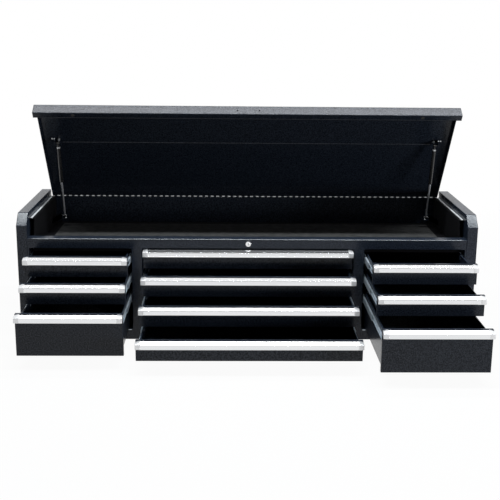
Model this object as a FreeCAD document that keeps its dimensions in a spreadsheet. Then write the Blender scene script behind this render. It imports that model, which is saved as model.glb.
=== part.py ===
"""Machinist tool chest: a three-bank top chest, 72 inches wide, with ten drawers and a hinged lid.

The frame has its origin in the middle of the footprint on the underside, +X to the right,
+Y to the back and +Z up. Pieces are drawn closed; the placement of each moving piece
sets it to the resting pose, which has the lid up and the drawers drawn out by steps.
"""
import FreeCAD, Part
import math
import os
import Sketcher

Vector = FreeCAD.Vector
doc = FreeCAD.newDocument("tool_chest")

# ---------------------------------------------------------------------------
# Driving dimensions, in millimetres and degrees
# ---------------------------------------------------------------------------

DIMENSIONS = {
    # case
    "case_width": 1829,
    "case_depth": 548,
    "wing_height": 514,
    "wing_thickness": 41.5,
    "wing_bevel": 45,
    "rim_height": 419,
    "rim_depth": 48,
    "rim_lip": 15,
    "steel": 1.2,
    "sill_height": 46,
    "fascia_height": 40,
    "opening_width_centre": 842,
    "opening_width_side": 403,
    "pillar_width": 43,
    "opening_return": 15,
    "pan_flange": 12,
    "back_flange": 15,
    "back_height": 480.5,
    "upright_width": 30,
    # till under the lid
    "till_floor": 365,
    "till_half_width": 855,
    "ledge_height": 485.5,
    "ledge_slope": 17,
    "till_front_gap": 18,
    "mat_margin": 41,
    "mat_thickness": 3,
    # drawers
    "row_pitch": 83,
    "row_gap": 3,
    "front_setback": 2,
    "front_depth": 14,
    "side_drop": 19,
    "box_lift": 5,
    "box_depth": 516,
    "hem_width": 6,
    # drawer pulls
    "pull_height": 27,
    "pull_reach": 26,
    "pull_slope_depth": 15,
    "pull_slope_drop": 7,
    "pull_wall": 2,
    "pull_lip": 4,
    "pull_foot": 14,
    "cap_length": 20,
    "cap_taper": 4,
    # three-member ball-bearing slides
    "slide_length": 500,
    "slide_width": 12.7,
    "slide_height": 35,
    "slide_start": 18,
    "slide_drop": 42,
    "channel_lip": 2.64,
    "case_member_reach": 9.525,
    "middle_member_web": 3.175,
    "middle_member_reach": 10.41,
    "middle_member_height": 24.85,
    "drawer_member_reach": 6.22,
    "drawer_member_height": 17.15,
    # piano hinge
    "hinge_height": 486,
    "knuckle_radius": 3.5,
    "hinge_pin_radius": 1.6,
    "pin_clearance": 0.05,
    "knuckle_pitch": 228.6,
    "knuckle_gap": 0.3,
    "leaf_width": 26,
    "leaf_relief": 4,
    # lid
    "lid_width": 1734,
    "lid_overhang": 3,
    "lid_return": 25,
    "lid_rim_gap": 1.5,
    "lid_side_gap": 1,
    "lid_hole_spacing": 88,
    "lid_hole_radius": 3.5,
    "bumper_spacing": 1412,
    "bumper_radius": 7,
    "bumper_thickness": 1.3,
    # gas struts
    "strut_spacing": 1600,
    "strut_foot_y": 178,
    "strut_foot_z": 414,
    "strut_reach": 320,
    "strut_rod_radius": 4,
    "strut_tube_radius": 7.5,
    "strut_tube_wall": 1.5,
    "strut_tube_start": 164,
    "strut_eye_radius": 7,
    "strut_eye_width": 13,
    "strut_pin_radius": 3,
    "strut_guide": 6,
    "strut_piston_start": 174,
    "strut_piston_length": 6,
    "strut_piston_gap": 0.4,
    "strut_shoulder": 16,
    "strut_stud_radius": 4,
    "bracket_gauge": 2,
    "bracket_leg": 24,
    "bracket_tab": 20,
    "case_bracket_gap": 2,
    "case_bracket_drop": 12,
    "case_bracket_reach": 790,
    "lid_bracket_gap": 5.5,
    "lid_bracket_drop": 6,
    "ball_joint_gap": 0.5,
    # lock
    "lock_height": 399,
    "lock_radius": 9.4,
    "lock_bezel_radius": 11,
    "lock_bezel": 2,
    "lock_depth": 13,
    "lock_plug_radius": 6,
    "lock_plug_proud": 0.5,
    "lock_cam_length": 16,
    "lock_cam_gauge": 2,
    "lock_cam_tip": 8,
    "keyway_width": 2,
    "keyway_height": 8,
    "keyway_depth": 8,
    # resting pose
    "lid_open": 54.84,
}

# How far each drawer is drawn out at rest, from the top row down.
DRAWN_OUT = {
    "left": (126, 213, 322),
    "centre": (0, 110, 228, 374),
    "right": (214, 344, 485),
}

ROWS = 4
KNUCKLES_ON_LID = 7


class Size:
    """A length held both as a number and as an expression on the sheet."""

    def __init__(self, value, text):
        self.value = value
        self.text = text

    def join(self, other, sign, value):
        return Size(value, "(" + self.text + " " + sign + " " + size_of(other).text + ")")

    def __add__(self, other):
        return self.join(other, "+", self.value + size_of(other).value)

    def __sub__(self, other):
        return self.join(other, "-", self.value - size_of(other).value)

    def __mul__(self, other):
        return self.join(other, "*", self.value * size_of(other).value)

    def __truediv__(self, other):
        return self.join(other, "/", self.value / size_of(other).value)

    def __neg__(self):
        return Size(-self.value, "(-" + self.text + ")")

    __radd__ = __add__


def size_of(value):
    """A plain number or a Size, as a Size."""
    if isinstance(value, Size):
        return value
    return Size(value, repr(value))


def fill_sheet():
    """Put the driving dimensions on the sheet and return them by name."""
    sheet = doc.addObject("Spreadsheet::Sheet", "sizes")
    named = {}
    for row, (name, value) in enumerate(DIMENSIONS.items(), start=1):
        sheet.set("A" + str(row), name)
        sheet.set("B" + str(row), str(value))
        sheet.setAlias("B" + str(row), name)
        named[name] = Size(value, "sizes." + name)
    doc.recompute()
    return named


class Names:
    """The dimensions as attributes."""

    def __init__(self, values):
        self.__dict__.update(values)


dim = Names(fill_sheet())
zero = size_of(0)

# ---------------------------------------------------------------------------
# Levels and faces worked out from the driving dimensions
# ---------------------------------------------------------------------------

front = -dim.case_depth / 2
rear = dim.case_depth / 2
half_width = dim.case_width / 2
wing_face = half_width - dim.wing_thickness
opening_top = dim.rim_height - dim.fascia_height
back_outer = rear - dim.steel
back_inner = back_outer - dim.steel
hinge_y = back_inner - dim.knuckle_radius
rim_rear = front + dim.rim_depth
till_front = front + dim.till_front_gap
till_under = dim.till_floor - dim.steel
pillar_inner = dim.opening_width_centre / 2
pillar_outer = pillar_inner + dim.pillar_width
bank_centre = pillar_outer + dim.opening_width_side / 2
edge_gap = (opening_top - dim.sill_height - dim.row_pitch * ROWS + dim.row_gap) / 2

# A 45 degree bend of sheet steel: how far its inner corner stays back from the outer one.
bend_inset = dim.steel * 0.4142

# ---------------------------------------------------------------------------
# Drawing helpers
# ---------------------------------------------------------------------------

PLANE_ROLE = {"XY": "XY_Plane", "XZ": "XZ_Plane", "YZ": "YZ_Plane"}


def bind(thing, path, size):
    """Tie one property to the sheet."""
    thing.setExpression(path, size_of(size).text)


def new_body(name):
    body = doc.addObject("PartDesign::Body", name)
    body.Label = name
    return body


def origin_feature(body, role):
    for feature in body.Origin.OriginFeatures:
        if feature.Role == role:
            return feature


def place_sketch(body, plane, start):
    """A sketch on one of the body's own planes, moved along the axis it faces to start."""
    sketch = body.newObject("Sketcher::SketchObject", "sketch")
    sketch.AttachmentSupport = [(origin_feature(body, PLANE_ROLE[plane]), "")]
    sketch.MapMode = "FlatFace"
    # The XZ plane faces -Y, so its offset is the other way round.
    offset = -size_of(start) if plane == "XZ" else size_of(start)
    bind(sketch, "AttachmentOffset.Base.z", offset)
    return sketch


def pin_point(sketch, geometry, position, point):
    """Hold one point of a sketch at a place bound to the sheet."""
    for kind, size in zip(("DistanceX", "DistanceY"), point):
        size = size_of(size)
        rule = Sketcher.Constraint(kind, -1, 1, geometry, position, size.value)
        index = sketch.addConstraint(rule)
        bind(sketch, "Constraints[" + str(index) + "]", size)


def draw_outline(body, plane, start, points):
    """A closed outline of straight lines through the given points."""
    sketch = place_sketch(body, plane, start)
    corners = [Vector(size_of(a).value, size_of(b).value, 0) for a, b in points]
    count = len(corners)
    for index in range(count):
        line = Part.LineSegment(corners[index], corners[(index + 1) % count])
        sketch.addGeometry(line, False)
    for index in range(count):
        sketch.addConstraint(Sketcher.Constraint("Coincident", index, 2, (index + 1) % count, 1))
    for index, point in enumerate(points):
        pin_point(sketch, index, 1, point)
    return sketch


def draw_circle(body, plane, start, centre, radius):
    """One circle."""
    sketch = place_sketch(body, plane, start)
    middle = Vector(size_of(centre[0]).value, size_of(centre[1]).value, 0)
    sketch.addGeometry(Part.Circle(middle, Vector(0, 0, 1), size_of(radius).value), False)
    pin_point(sketch, 0, 3, centre)
    index = sketch.addConstraint(Sketcher.Constraint("Radius", 0, size_of(radius).value))
    bind(sketch, "Constraints[" + str(index) + "]", radius)
    return sketch


def rectangle(low, high):
    """The four corners of an upright rectangle."""
    return [(low[0], low[1]), (high[0], low[1]), (high[0], high[1]), (low[0], high[1])]


def pad(body, plane, sketch, length):
    """Add material from the sketch towards the positive end of its axis."""
    feature = body.newObject("PartDesign::Pad", "pad")
    feature.Profile = sketch
    feature.Reversed = plane == "XZ"
    bind(feature, "Length", length)
    return feature


def pocket(body, plane, sketch, length):
    """Cut away from the sketch towards the positive end of its axis, and make sure it cuts."""
    doc.recompute()
    before = body.Shape.Volume
    feature = body.newObject("PartDesign::Pocket", "pocket")
    feature.Profile = sketch
    feature.Reversed = plane != "XZ"
    bind(feature, "Length", length)
    doc.recompute()
    if not body.Shape.Volume < before:
        raise RuntimeError(body.Label + ": a pocket cut nothing")
    return feature


def pad_outline(body, plane, start, length, points):
    return pad(body, plane, draw_outline(body, plane, start, points), length)


def cut_outline(body, plane, start, length, points):
    return pocket(body, plane, draw_outline(body, plane, start, points), length)


def pad_circle(body, plane, start, length, centre, radius):
    return pad(body, plane, draw_circle(body, plane, start, centre, radius), length)


def cut_circle(body, plane, start, length, centre, radius):
    return pocket(body, plane, draw_circle(body, plane, start, centre, radius), length)


def repeat_along_x(body, features, step, count):
    """A row of copies of the given features along X."""
    pattern = body.newObject("PartDesign::LinearPattern", "row")
    pattern.Originals = features
    pattern.Direction = (origin_feature(body, "X_Axis"), [""])
    bind(pattern, "Length", step * (count - 1))
    pattern.Occurrences = count
    body.Tip = pattern


def mirrored(source, name):
    """The other hand of a piece, across the middle of the chest or drawer."""
    other = doc.addObject("Part::Mirroring", name)
    other.Source = source
    other.Normal = (1, 0, 0)
    other.Label = name
    return other


def linked(source, name, offset):
    """A further piece of the same shape, moved by the offset."""
    copy = doc.addObject("App::Link", name)
    copy.LinkedObject = source
    for axis, size in zip("xyz", offset):
        bind(copy, "Placement.Base." + axis, size)
    return copy


def group(name, members):
    """Separate pieces that make one named sub-part."""
    compound = doc.addObject("Part::Compound", name)
    compound.Links = members
    compound.Label = name
    return compound


parts = []


def keep(piece):
    """Mark a finished sub-part, to be written out."""
    parts.append(piece)
    return piece


# ---------------------------------------------------------------------------
# Case
# ---------------------------------------------------------------------------

def wing_outline(inset, corner):
    """The side of a wing, or its inside when it is inset by the sheet."""
    return [
        (front + inset, zero),
        (rear - inset, zero),
        (rear - inset, dim.wing_height - inset),
        (front + dim.wing_bevel + corner, dim.wing_height - inset),
        (front + inset, dim.wing_height - dim.wing_bevel - corner),
    ]


def make_side_panels():
    """Double-walled wings, hollow and open underneath, each with two uprights for the slides."""
    right = new_body("right_side_panel")
    pad_outline(right, "YZ", wing_face, dim.wing_thickness, wing_outline(zero, zero))
    cavity = wing_outline(dim.steel, bend_inset)
    cut_outline(right, "YZ", wing_face + dim.steel, dim.wing_thickness - dim.steel * 2, cavity)
    opening_edge = pillar_outer + dim.opening_width_side
    slide_front = front + dim.slide_start
    slide_rear = slide_front + dim.slide_length - dim.upright_width
    for start in (slide_front, slide_rear):
        strip = rectangle((start, dim.sill_height), (start + dim.upright_width, till_under))
        pad_outline(right, "YZ", opening_edge, wing_face - opening_edge, strip)
    keep(right)
    keep(mirrored(right, "left_side_panel"))


def make_back_panel():
    """Back sheet with a flange bent forward along each wing."""
    panel = new_body("back_panel")
    fold = back_inner - dim.back_flange
    outline = [
        (-wing_face, fold),
        (-wing_face + dim.steel, fold),
        (-wing_face + dim.steel, back_inner),
        (wing_face - dim.steel, back_inner),
        (wing_face - dim.steel, fold),
        (wing_face, fold),
        (wing_face, back_outer),
        (-wing_face, back_outer),
    ]
    pad_outline(panel, "XY", zero, dim.back_height, outline)
    keep(panel)


def make_bottom_pan():
    """Bottom sheet with its front and rear edges turned up."""
    pan = new_body("bottom_pan")
    low = front + dim.steel
    outline = [
        (low, zero),
        (back_inner, zero),
        (back_inner, dim.pan_flange),
        (back_inner - dim.steel, dim.pan_flange),
        (back_inner - dim.steel, dim.steel),
        (low + dim.steel, dim.steel),
        (low + dim.steel, dim.pan_flange),
        (low, dim.pan_flange),
    ]
    side = wing_face - dim.steel
    pad_outline(pan, "YZ", -side, side * 2, outline)
    keep(pan)


def make_front_frame():
    """Face frame: sill, pillars, stiles, fascia and the rim that the lid closes on."""
    frame = new_body("front_frame")
    face = rectangle((-wing_face, zero), (wing_face, dim.rim_height))
    pad_outline(frame, "XZ", front, dim.steel, face)
    rim = rectangle((front, dim.rim_height - dim.steel), (rim_rear, dim.rim_height))
    pad_outline(frame, "YZ", -wing_face, wing_face * 2, rim)
    till_inside = dim.till_half_width - dim.steel * 2
    lip = rectangle((rim_rear - dim.steel, dim.rim_height - dim.rim_lip), (rim_rear, dim.rim_height))
    pad_outline(frame, "YZ", -till_inside, till_inside * 2, lip)
    openings = (
        (-pillar_outer - dim.opening_width_side, -pillar_outer),
        (-pillar_inner, pillar_inner),
        (pillar_outer, pillar_outer + dim.opening_width_side),
    )
    for left, right in openings:
        collar = rectangle(
            (left - dim.steel, dim.sill_height - dim.steel),
            (right + dim.steel, opening_top + dim.steel),
        )
        pad_outline(frame, "XZ", front, dim.opening_return, collar)
    for left, right in openings:
        hole = rectangle((left, dim.sill_height), (right, opening_top))
        cut_outline(frame, "XZ", front, dim.opening_return, hole)
    lock_hole = dim.lock_radius + dim.pin_clearance
    cut_circle(frame, "XZ", front, dim.steel, (zero, dim.lock_height), lock_hole)
    keep(frame)


def make_partitions():
    """Hollow walls between the banks, from the bottom sheet up to the till."""
    wall = new_body("partition_wall")
    low = front + dim.opening_return
    high = back_inner - dim.steel
    outer = rectangle((pillar_inner, low), (pillar_outer, high))
    pad_outline(wall, "XY", dim.steel, till_under - dim.steel, outer)
    inner = rectangle(
        (pillar_inner + dim.steel, low + dim.steel),
        (pillar_outer - dim.steel, high - dim.steel),
    )
    cut_outline(wall, "XY", dim.steel, till_under - dim.steel, inner)
    keep(group("bank_partitions", [wall, mirrored(wall, "other_partition_wall")]))


def make_till_tray():
    """Floor and walls of the till; the side walls end in ledges for the edges of the lid."""
    tray = new_body("till_tray")
    half = dim.till_half_width
    inside = half - dim.steel
    ledge_under = dim.ledge_height - dim.steel
    section = [
        (-half, till_under),
        (half, till_under),
        (half, ledge_under),
        (wing_face, ledge_under),
        (wing_face, dim.ledge_height),
        (inside, dim.ledge_height),
        (inside, dim.till_floor),
        (-inside, dim.till_floor),
        (-inside, dim.ledge_height),
        (-wing_face, dim.ledge_height),
        (-wing_face, ledge_under),
        (-half, ledge_under),
    ]
    pad_outline(tray, "XZ", till_front, back_inner - till_front, section)
    under_rim = dim.rim_height - dim.steel
    front_wall = rectangle((-half, till_under), (half, under_rim))
    pad_outline(tray, "XZ", till_front, dim.steel, front_wall)
    above = dim.ledge_height + 1
    slope_foot = rim_rear
    slope_head = rim_rear + dim.ledge_slope
    front_corner = [
        (till_front, under_rim),
        (slope_foot, under_rim),
        (slope_head, dim.ledge_height),
        (slope_head, above),
        (till_front, above),
    ]
    cut_outline(tray, "YZ", -wing_face, wing_face * 2, front_corner)
    leaf_foot = dim.hinge_height - dim.leaf_width - 2
    hinge_notch = rectangle((hinge_y - dim.knuckle_radius - 1, leaf_foot), (back_inner, above))
    cut_outline(tray, "YZ", -wing_face, wing_face * 2, hinge_notch)
    keep(tray)


def make_till_mat():
    mat = doc.addObject("Part::Box", "till_mat")
    mat.Label = "till_mat"
    half = dim.till_half_width - dim.mat_margin
    low = till_front + dim.mat_margin
    high = back_inner - dim.mat_margin
    bind(mat, "Length", half * 2)
    bind(mat, "Width", high - low)
    bind(mat, "Height", dim.mat_thickness)
    bind(mat, "Placement.Base.x", -half)
    bind(mat, "Placement.Base.y", low)
    bind(mat, "Placement.Base.z", dim.till_floor)
    keep(mat)


# ---------------------------------------------------------------------------
# Slides: three nested channels, drawn for the left side of a drawer.
# X runs from the wall of the bank towards the drawer, Z from the centre line of the slide.
# ---------------------------------------------------------------------------

def channel(web, tip, half_height, has_lips):
    """A C section: its web at one X, its open side, with or without lips, at the other."""
    way = 1 if tip.value > web.value else -1
    gauge = dim.steel * way
    inside = half_height - dim.steel
    lip = half_height - dim.channel_lip
    lower = [(web, -half_height), (tip, -half_height)]
    if has_lips:
        lower += [(tip, -lip), (tip - gauge, -lip), (tip - gauge, -inside)]
    else:
        lower += [(tip, -inside)]
    lower += [(web + gauge, -inside)]
    upper = [(x, -z) for x, z in reversed(lower)]
    return lower + upper


def make_slide_members():
    """The three members of one slide, to be linked to wherever a slide goes."""
    sections = {
        "case_member": channel(zero, dim.case_member_reach, dim.slide_height / 2, True),
        "middle_member": channel(dim.middle_member_web, dim.middle_member_reach,
                                 dim.middle_member_height / 2, True),
        "drawer_member": channel(dim.slide_width, dim.drawer_member_reach,
                                 dim.drawer_member_height / 2, False),
    }
    members = {}
    for name, section in sections.items():
        member = new_body(name)
        pad_outline(member, "XZ", zero, dim.slide_length, section)
        members[name] = member
        members["other_" + name] = mirrored(member, "other_" + name)
    return members


# ---------------------------------------------------------------------------
# Drawers: drawn in a frame of their own, X from the middle of the bank, Y from the face
# of the case and Z from the lower edge of the front
# ---------------------------------------------------------------------------

class Drawer:
    """One drawer's place and size."""

    def __init__(self, bank, row, rows_tall):
        self.bank = bank
        self.name = bank + "_drawer_" + str(row)
        self.opening = dim.opening_width_centre if bank == "centre" else dim.opening_width_side
        self.x = {"left": -bank_centre, "centre": zero, "right": bank_centre}[bank]
        self.height = dim.row_pitch * rows_tall - dim.row_gap
        self.z = opening_top - edge_gap - dim.row_pitch * (row - 1) - self.height
        self.drawn_out = DRAWN_OUT[bank][row - 1]
        self.half_front = self.opening / 2 - dim.row_gap
        self.half_box = self.opening / 2 - dim.slide_width
        self.slide_z = self.height - dim.slide_drop


def list_drawers():
    drawers = [Drawer("centre", row, 1) for row in range(1, ROWS + 1)]
    for bank in ("left", "right"):
        drawers += [Drawer(bank, 1, 1), Drawer(bank, 2, 1), Drawer(bank, 3, 2)]
    return drawers


def rest_place(piece, drawer, share):
    """Put a piece of a drawer where it rests: share is how much of the drawer's way it goes."""
    bind(piece, "Placement.Base.x", drawer.x)
    bind(piece, "Placement.Base.y", front - drawer.drawn_out * share)
    bind(piece, "Placement.Base.z", drawer.z)
    return keep(piece)


def make_drawer_box(drawer):
    """Bottom, sides with hems, back wall and the front folded round like a shallow pan."""
    box = new_body(drawer.name)
    inner_face = dim.front_setback + dim.steel
    base = dim.box_lift
    top = drawer.height - dim.side_drop
    outside = drawer.half_box
    inside = outside - dim.steel
    hem = outside - dim.hem_width
    section = [
        (-outside, base),
        (outside, base),
        (outside, top),
        (hem, top),
        (hem, top - dim.steel),
        (inside, top - dim.steel),
        (inside, base + dim.steel),
        (-inside, base + dim.steel),
        (-inside, top - dim.steel),
        (-hem, top - dim.steel),
        (-hem, top),
        (-outside, top),
    ]
    pad_outline(box, "XZ", inner_face, dim.box_depth, section)
    back = rectangle((-outside, base), (outside, top))
    pad_outline(box, "XZ", inner_face + dim.box_depth - dim.steel, dim.steel, back)
    face = rectangle((-drawer.half_front, zero), (drawer.half_front, drawer.height))
    pad_outline(box, "XZ", dim.front_setback, dim.steel, face)
    half = drawer.half_front
    flanges = (
        rectangle((-half, zero), (-half + dim.steel, drawer.height)),
        rectangle((half - dim.steel, zero), (half, drawer.height)),
        rectangle((-half, zero), (half, dim.steel)),
        rectangle((-half, drawer.height - dim.steel), (half, drawer.height)),
    )
    for flange in flanges:
        pad_outline(box, "XZ", dim.front_setback, dim.front_depth, flange)
    rest_place(box, drawer, 1)


def make_pull(drawer):
    """An aluminium extrusion across the top of the front, closed by a tapered cap at each end."""
    top = drawer.height
    wall = dim.pull_wall
    face = -dim.pull_reach
    crest = face + dim.pull_slope_depth
    brow = top - dim.pull_slope_drop
    slope = dim.pull_slope_drop.value / dim.pull_slope_depth.value
    upright_wall = wall * round(math.hypot(1, slope), 4)
    foot = dim.front_setback
    low = top - dim.pull_height
    half = drawer.half_front - dim.cap_length
    rail = new_body(drawer.name + "_extrusion")
    section = [
        (foot, top),
        (crest, top),
        (face, brow),
        (face, low),
        (face + dim.pull_lip, low),
        (face + dim.pull_lip, low + wall),
        (face + wall, low + wall),
        (face + wall, brow + wall * slope - upright_wall),
        (crest + (upright_wall - wall) / slope, top - wall),
        (foot - wall, top - wall),
        (foot - wall, top - dim.pull_foot),
        (foot, top - dim.pull_foot),
    ]
    pad_outline(rail, "YZ", -half, half * 2, section)

    def cap_outline(drop):
        return [
            (foot, top - drop),
            (crest, top - drop),
            (face + drop / 2, brow - drop / 2),
            (face + drop / 2, low),
            (face + dim.pull_lip + drop / 2, low),
            (foot, top - dim.pull_foot - drop),
        ]

    cap = new_body(drawer.name + "_end_cap")
    inner = draw_outline(cap, "YZ", half, cap_outline(zero))
    outer = draw_outline(cap, "YZ", half + dim.cap_length, cap_outline(dim.cap_taper))
    loft = cap.newObject("PartDesign::AdditiveLoft", "loft")
    loft.Profile = inner
    loft.Sections = [outer]
    loft.Ruled = True
    pieces = [rail, cap, mirrored(cap, drawer.name + "_other_end_cap")]
    rest_place(group(drawer.name + "_pull", pieces), drawer, 1)


def slide_pair(drawer, members, member):
    """The same member of the slides on both sides of a drawer, in the drawer's frame."""
    edge = drawer.opening / 2
    left = linked(members[member], drawer.name + "_left_" + member,
                  (-edge, dim.slide_start, drawer.slide_z))
    right = linked(members["other_" + member], drawer.name + "_right_" + member,
                   (edge, dim.slide_start, drawer.slide_z))
    return [left, right]


def make_drawer(drawer, members):
    make_drawer_box(drawer)
    make_pull(drawer)
    on_drawer = slide_pair(drawer, members, "drawer_member")
    rest_place(group(drawer.name + "_rails", on_drawer), drawer, 1)
    between = slide_pair(drawer, members, "middle_member")
    rest_place(group(drawer.name + "_middle_rails", between), drawer, 0.5)


def make_case_rails(drawers, members):
    """The fixed members of all slides, screwed to the partitions and the uprights."""
    rails = []
    for drawer in drawers:
        edge = drawer.opening / 2
        y = front + dim.slide_start
        z = drawer.z + drawer.slide_z
        rails.append(linked(members["case_member"], drawer.name + "_left_case",
                            (drawer.x - edge, y, z)))
        rails.append(linked(members["other_case_member"], drawer.name + "_right_case",
                            (drawer.x + edge, y, z)))
    keep(group("case_rails", rails))


# ---------------------------------------------------------------------------
# Lid and piano hinge, drawn closed and then turned up about the hinge pin
# ---------------------------------------------------------------------------

def open_lid_place():
    """The turn about the hinge pin that lifts the lid to its resting pose."""
    axis_point = Vector(0, hinge_y.value, dim.hinge_height.value)
    turn = FreeCAD.Rotation(Vector(1, 0, 0), -dim.lid_open.value)
    return FreeCAD.Placement(axis_point - turn.multVec(axis_point), turn)


def keep_on_lid(piece):
    piece.Placement = open_lid_place()
    return keep(piece)


def lid_outline(inset, corner):
    """The side of the lid: rear edge, top, bevel, drop front and returned lip."""
    face = front - dim.lid_overhang
    lip = dim.rim_height + dim.lid_rim_gap
    return [
        (back_outer - inset, lip + inset),
        (back_outer - inset, dim.wing_height - inset),
        (face + dim.wing_bevel + corner, dim.wing_height - inset),
        (face + inset, dim.wing_height - dim.wing_bevel - corner),
        (face + inset, lip + inset),
    ]


def make_lid_panel():
    """One sheet folded down on all sides, deeper at the front, with a returned lip."""
    lid = new_body("lid_panel")
    half = dim.lid_width / 2
    pad_outline(lid, "YZ", -half, dim.lid_width, lid_outline(zero, zero))
    cavity = lid_outline(dim.steel, bend_inset)
    cut_outline(lid, "YZ", -half + dim.steel, dim.lid_width - dim.steel * 2, cavity)
    lip_rear = front - dim.lid_overhang + dim.lid_return
    side_edge = dim.hinge_height + dim.lid_side_gap
    rear_edge = dim.hinge_height + 3
    below = dim.rim_height - 1
    open_side = [
        (lip_rear, below),
        (lip_rear, side_edge),
        (hinge_y, side_edge),
        (hinge_y, rear_edge),
        (rear, rear_edge),
        (rear, below),
    ]
    cut_outline(lid, "YZ", -half, dim.lid_width, open_side)
    face = front - dim.lid_overhang
    hole_z = (dim.rim_height + dim.wing_height - dim.wing_bevel) / 2
    for side in (-1, 1):
        centre = (dim.lid_hole_spacing / 2 * side, hole_z)
        cut_circle(lid, "XZ", face, dim.steel, centre, dim.lid_hole_radius)
    keep_on_lid(lid)


def make_hinge_leaf(name, way, count):
    """A leaf with its row of knuckles: way is 1 for the lid's leaf above the pin, -1 below."""
    leaf = new_body(name)
    knuckle = dim.knuckle_pitch / 2
    total = knuckle * (KNUCKLES_ON_LID * 2 + 1)
    axis = (hinge_y, dim.hinge_height)
    near = dim.hinge_height + dim.leaf_relief * way
    far = dim.hinge_height + dim.leaf_width * way
    plane_y = back_inner - dim.steel
    low, high = (near, far) if way > 0 else (far, near)
    sheet = rectangle((plane_y, low), (back_inner, high))
    pad_outline(leaf, "YZ", -total / 2, total, sheet)
    first = -total / 2 + dim.knuckle_gap / 2
    if way > 0:
        first = first + knuckle
    length = knuckle - dim.knuckle_gap
    reach = dim.hinge_height + dim.leaf_relief * 1.2 * way
    low, high = (dim.hinge_height, reach) if way > 0 else (reach, dim.hinge_height)
    neck = pad_outline(leaf, "YZ", first, length, rectangle((plane_y, low), (back_inner, high)))
    barrel = pad_circle(leaf, "YZ", first, length, axis, dim.knuckle_radius)
    repeat_along_x(leaf, [neck, barrel], dim.knuckle_pitch, count)
    bore = dim.hinge_pin_radius + dim.pin_clearance
    cut_circle(leaf, "YZ", -total / 2, total, axis, bore)
    return leaf


def make_hinge():
    keep(make_hinge_leaf("hinge_case_leaf", -1, KNUCKLES_ON_LID + 1))
    keep_on_lid(make_hinge_leaf("hinge_lid_leaf", 1, KNUCKLES_ON_LID))
    pin = new_body("hinge_pin")
    length = dim.knuckle_pitch * (KNUCKLES_ON_LID + 0.5)
    axis = (hinge_y, dim.hinge_height)
    pad_circle(pin, "YZ", -length / 2, length, axis, dim.hinge_pin_radius)
    keep(pin)


def make_lid_bumpers():
    """Rubber buttons under the lip, which meet the rim."""
    button = new_body("bumper_button")
    lip = dim.rim_height + dim.lid_rim_gap
    centre = (dim.bumper_spacing / 2, front - dim.lid_overhang + dim.lid_return / 2)
    pad_circle(button, "XY", lip - dim.bumper_thickness, dim.bumper_thickness, centre,
               dim.bumper_radius)
    keep_on_lid(group("lid_bumpers", [button, mirrored(button, "other_bumper_button")]))


# ---------------------------------------------------------------------------
# Gas struts: drawn upright from the pivot at the foot, then leaned to the lid
# ---------------------------------------------------------------------------

strut_x = dim.strut_spacing / 2
eye_face = dim.strut_eye_width / 2


def strut_length():
    """Distance from the foot to the pivot on the open lid, and the lean of the strut."""
    angle = math.radians(dim.lid_open.value)
    reach = dim.strut_reach.value
    head_y = hinge_y.value - reach * math.cos(angle)
    head_z = dim.hinge_height.value + reach * math.sin(angle)
    along_y = head_y - dim.strut_foot_y.value
    along_z = head_z - dim.strut_foot_z.value
    return math.hypot(along_y, along_z), math.degrees(math.atan2(-along_y, along_z))


def keep_on_strut(piece):
    lean = strut_length()[1]
    foot = Vector(0, dim.strut_foot_y.value, dim.strut_foot_z.value)
    piece.Placement = FreeCAD.Placement(foot, FreeCAD.Rotation(Vector(1, 0, 0), lean))
    return keep(piece)


def make_strut_rods():
    """Polished rods with a flat eye at the foot and a piston inside the tube."""
    rod = new_body("strut_rod")
    inside = dim.strut_tube_radius - dim.strut_tube_wall
    pad_circle(rod, "YZ", strut_x - eye_face + 1, dim.strut_eye_width - 2, (zero, zero),
               dim.strut_eye_radius)
    rod_start = dim.strut_eye_radius / 2
    pad_circle(rod, "XY", rod_start, dim.strut_piston_start - rod_start + 1, (strut_x, zero),
               dim.strut_rod_radius)
    pad_circle(rod, "XY", dim.strut_piston_start, dim.strut_piston_length, (strut_x, zero),
               inside - dim.strut_piston_gap)
    cut_circle(rod, "YZ", strut_x - eye_face, dim.strut_eye_width, (zero, zero),
               dim.strut_pin_radius + dim.pin_clearance)
    keep_on_strut(group("strut_rods", [rod, mirrored(rod, "other_strut_rod")]))


def make_strut_cylinders():
    """Pressure tubes: a guide at the rod's end and a ball socket at the lid."""
    tube = new_body("strut_cylinder")
    head = size_of(round(strut_length()[0], 3))
    start = dim.strut_tube_start
    guide = dim.strut_guide
    end = head - dim.strut_shoulder
    axis = (strut_x, zero)
    pad_circle(tube, "XY", start, end - start, axis, dim.strut_tube_radius)
    inside = dim.strut_tube_radius - dim.strut_tube_wall
    cut_circle(tube, "XY", start + guide, end - start - guide * 2, axis, inside)
    cut_circle(tube, "XY", start, guide, axis, dim.strut_rod_radius + dim.pin_clearance)
    pad_circle(tube, "XY", end - 1, dim.strut_shoulder - 2, axis, dim.strut_rod_radius)
    pad_circle(tube, "YZ", strut_x - eye_face, dim.strut_eye_width, (zero, head),
               dim.strut_eye_radius)
    keep_on_strut(group("strut_cylinders", [tube, mirrored(tube, "other_strut_cylinder")]))


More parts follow.
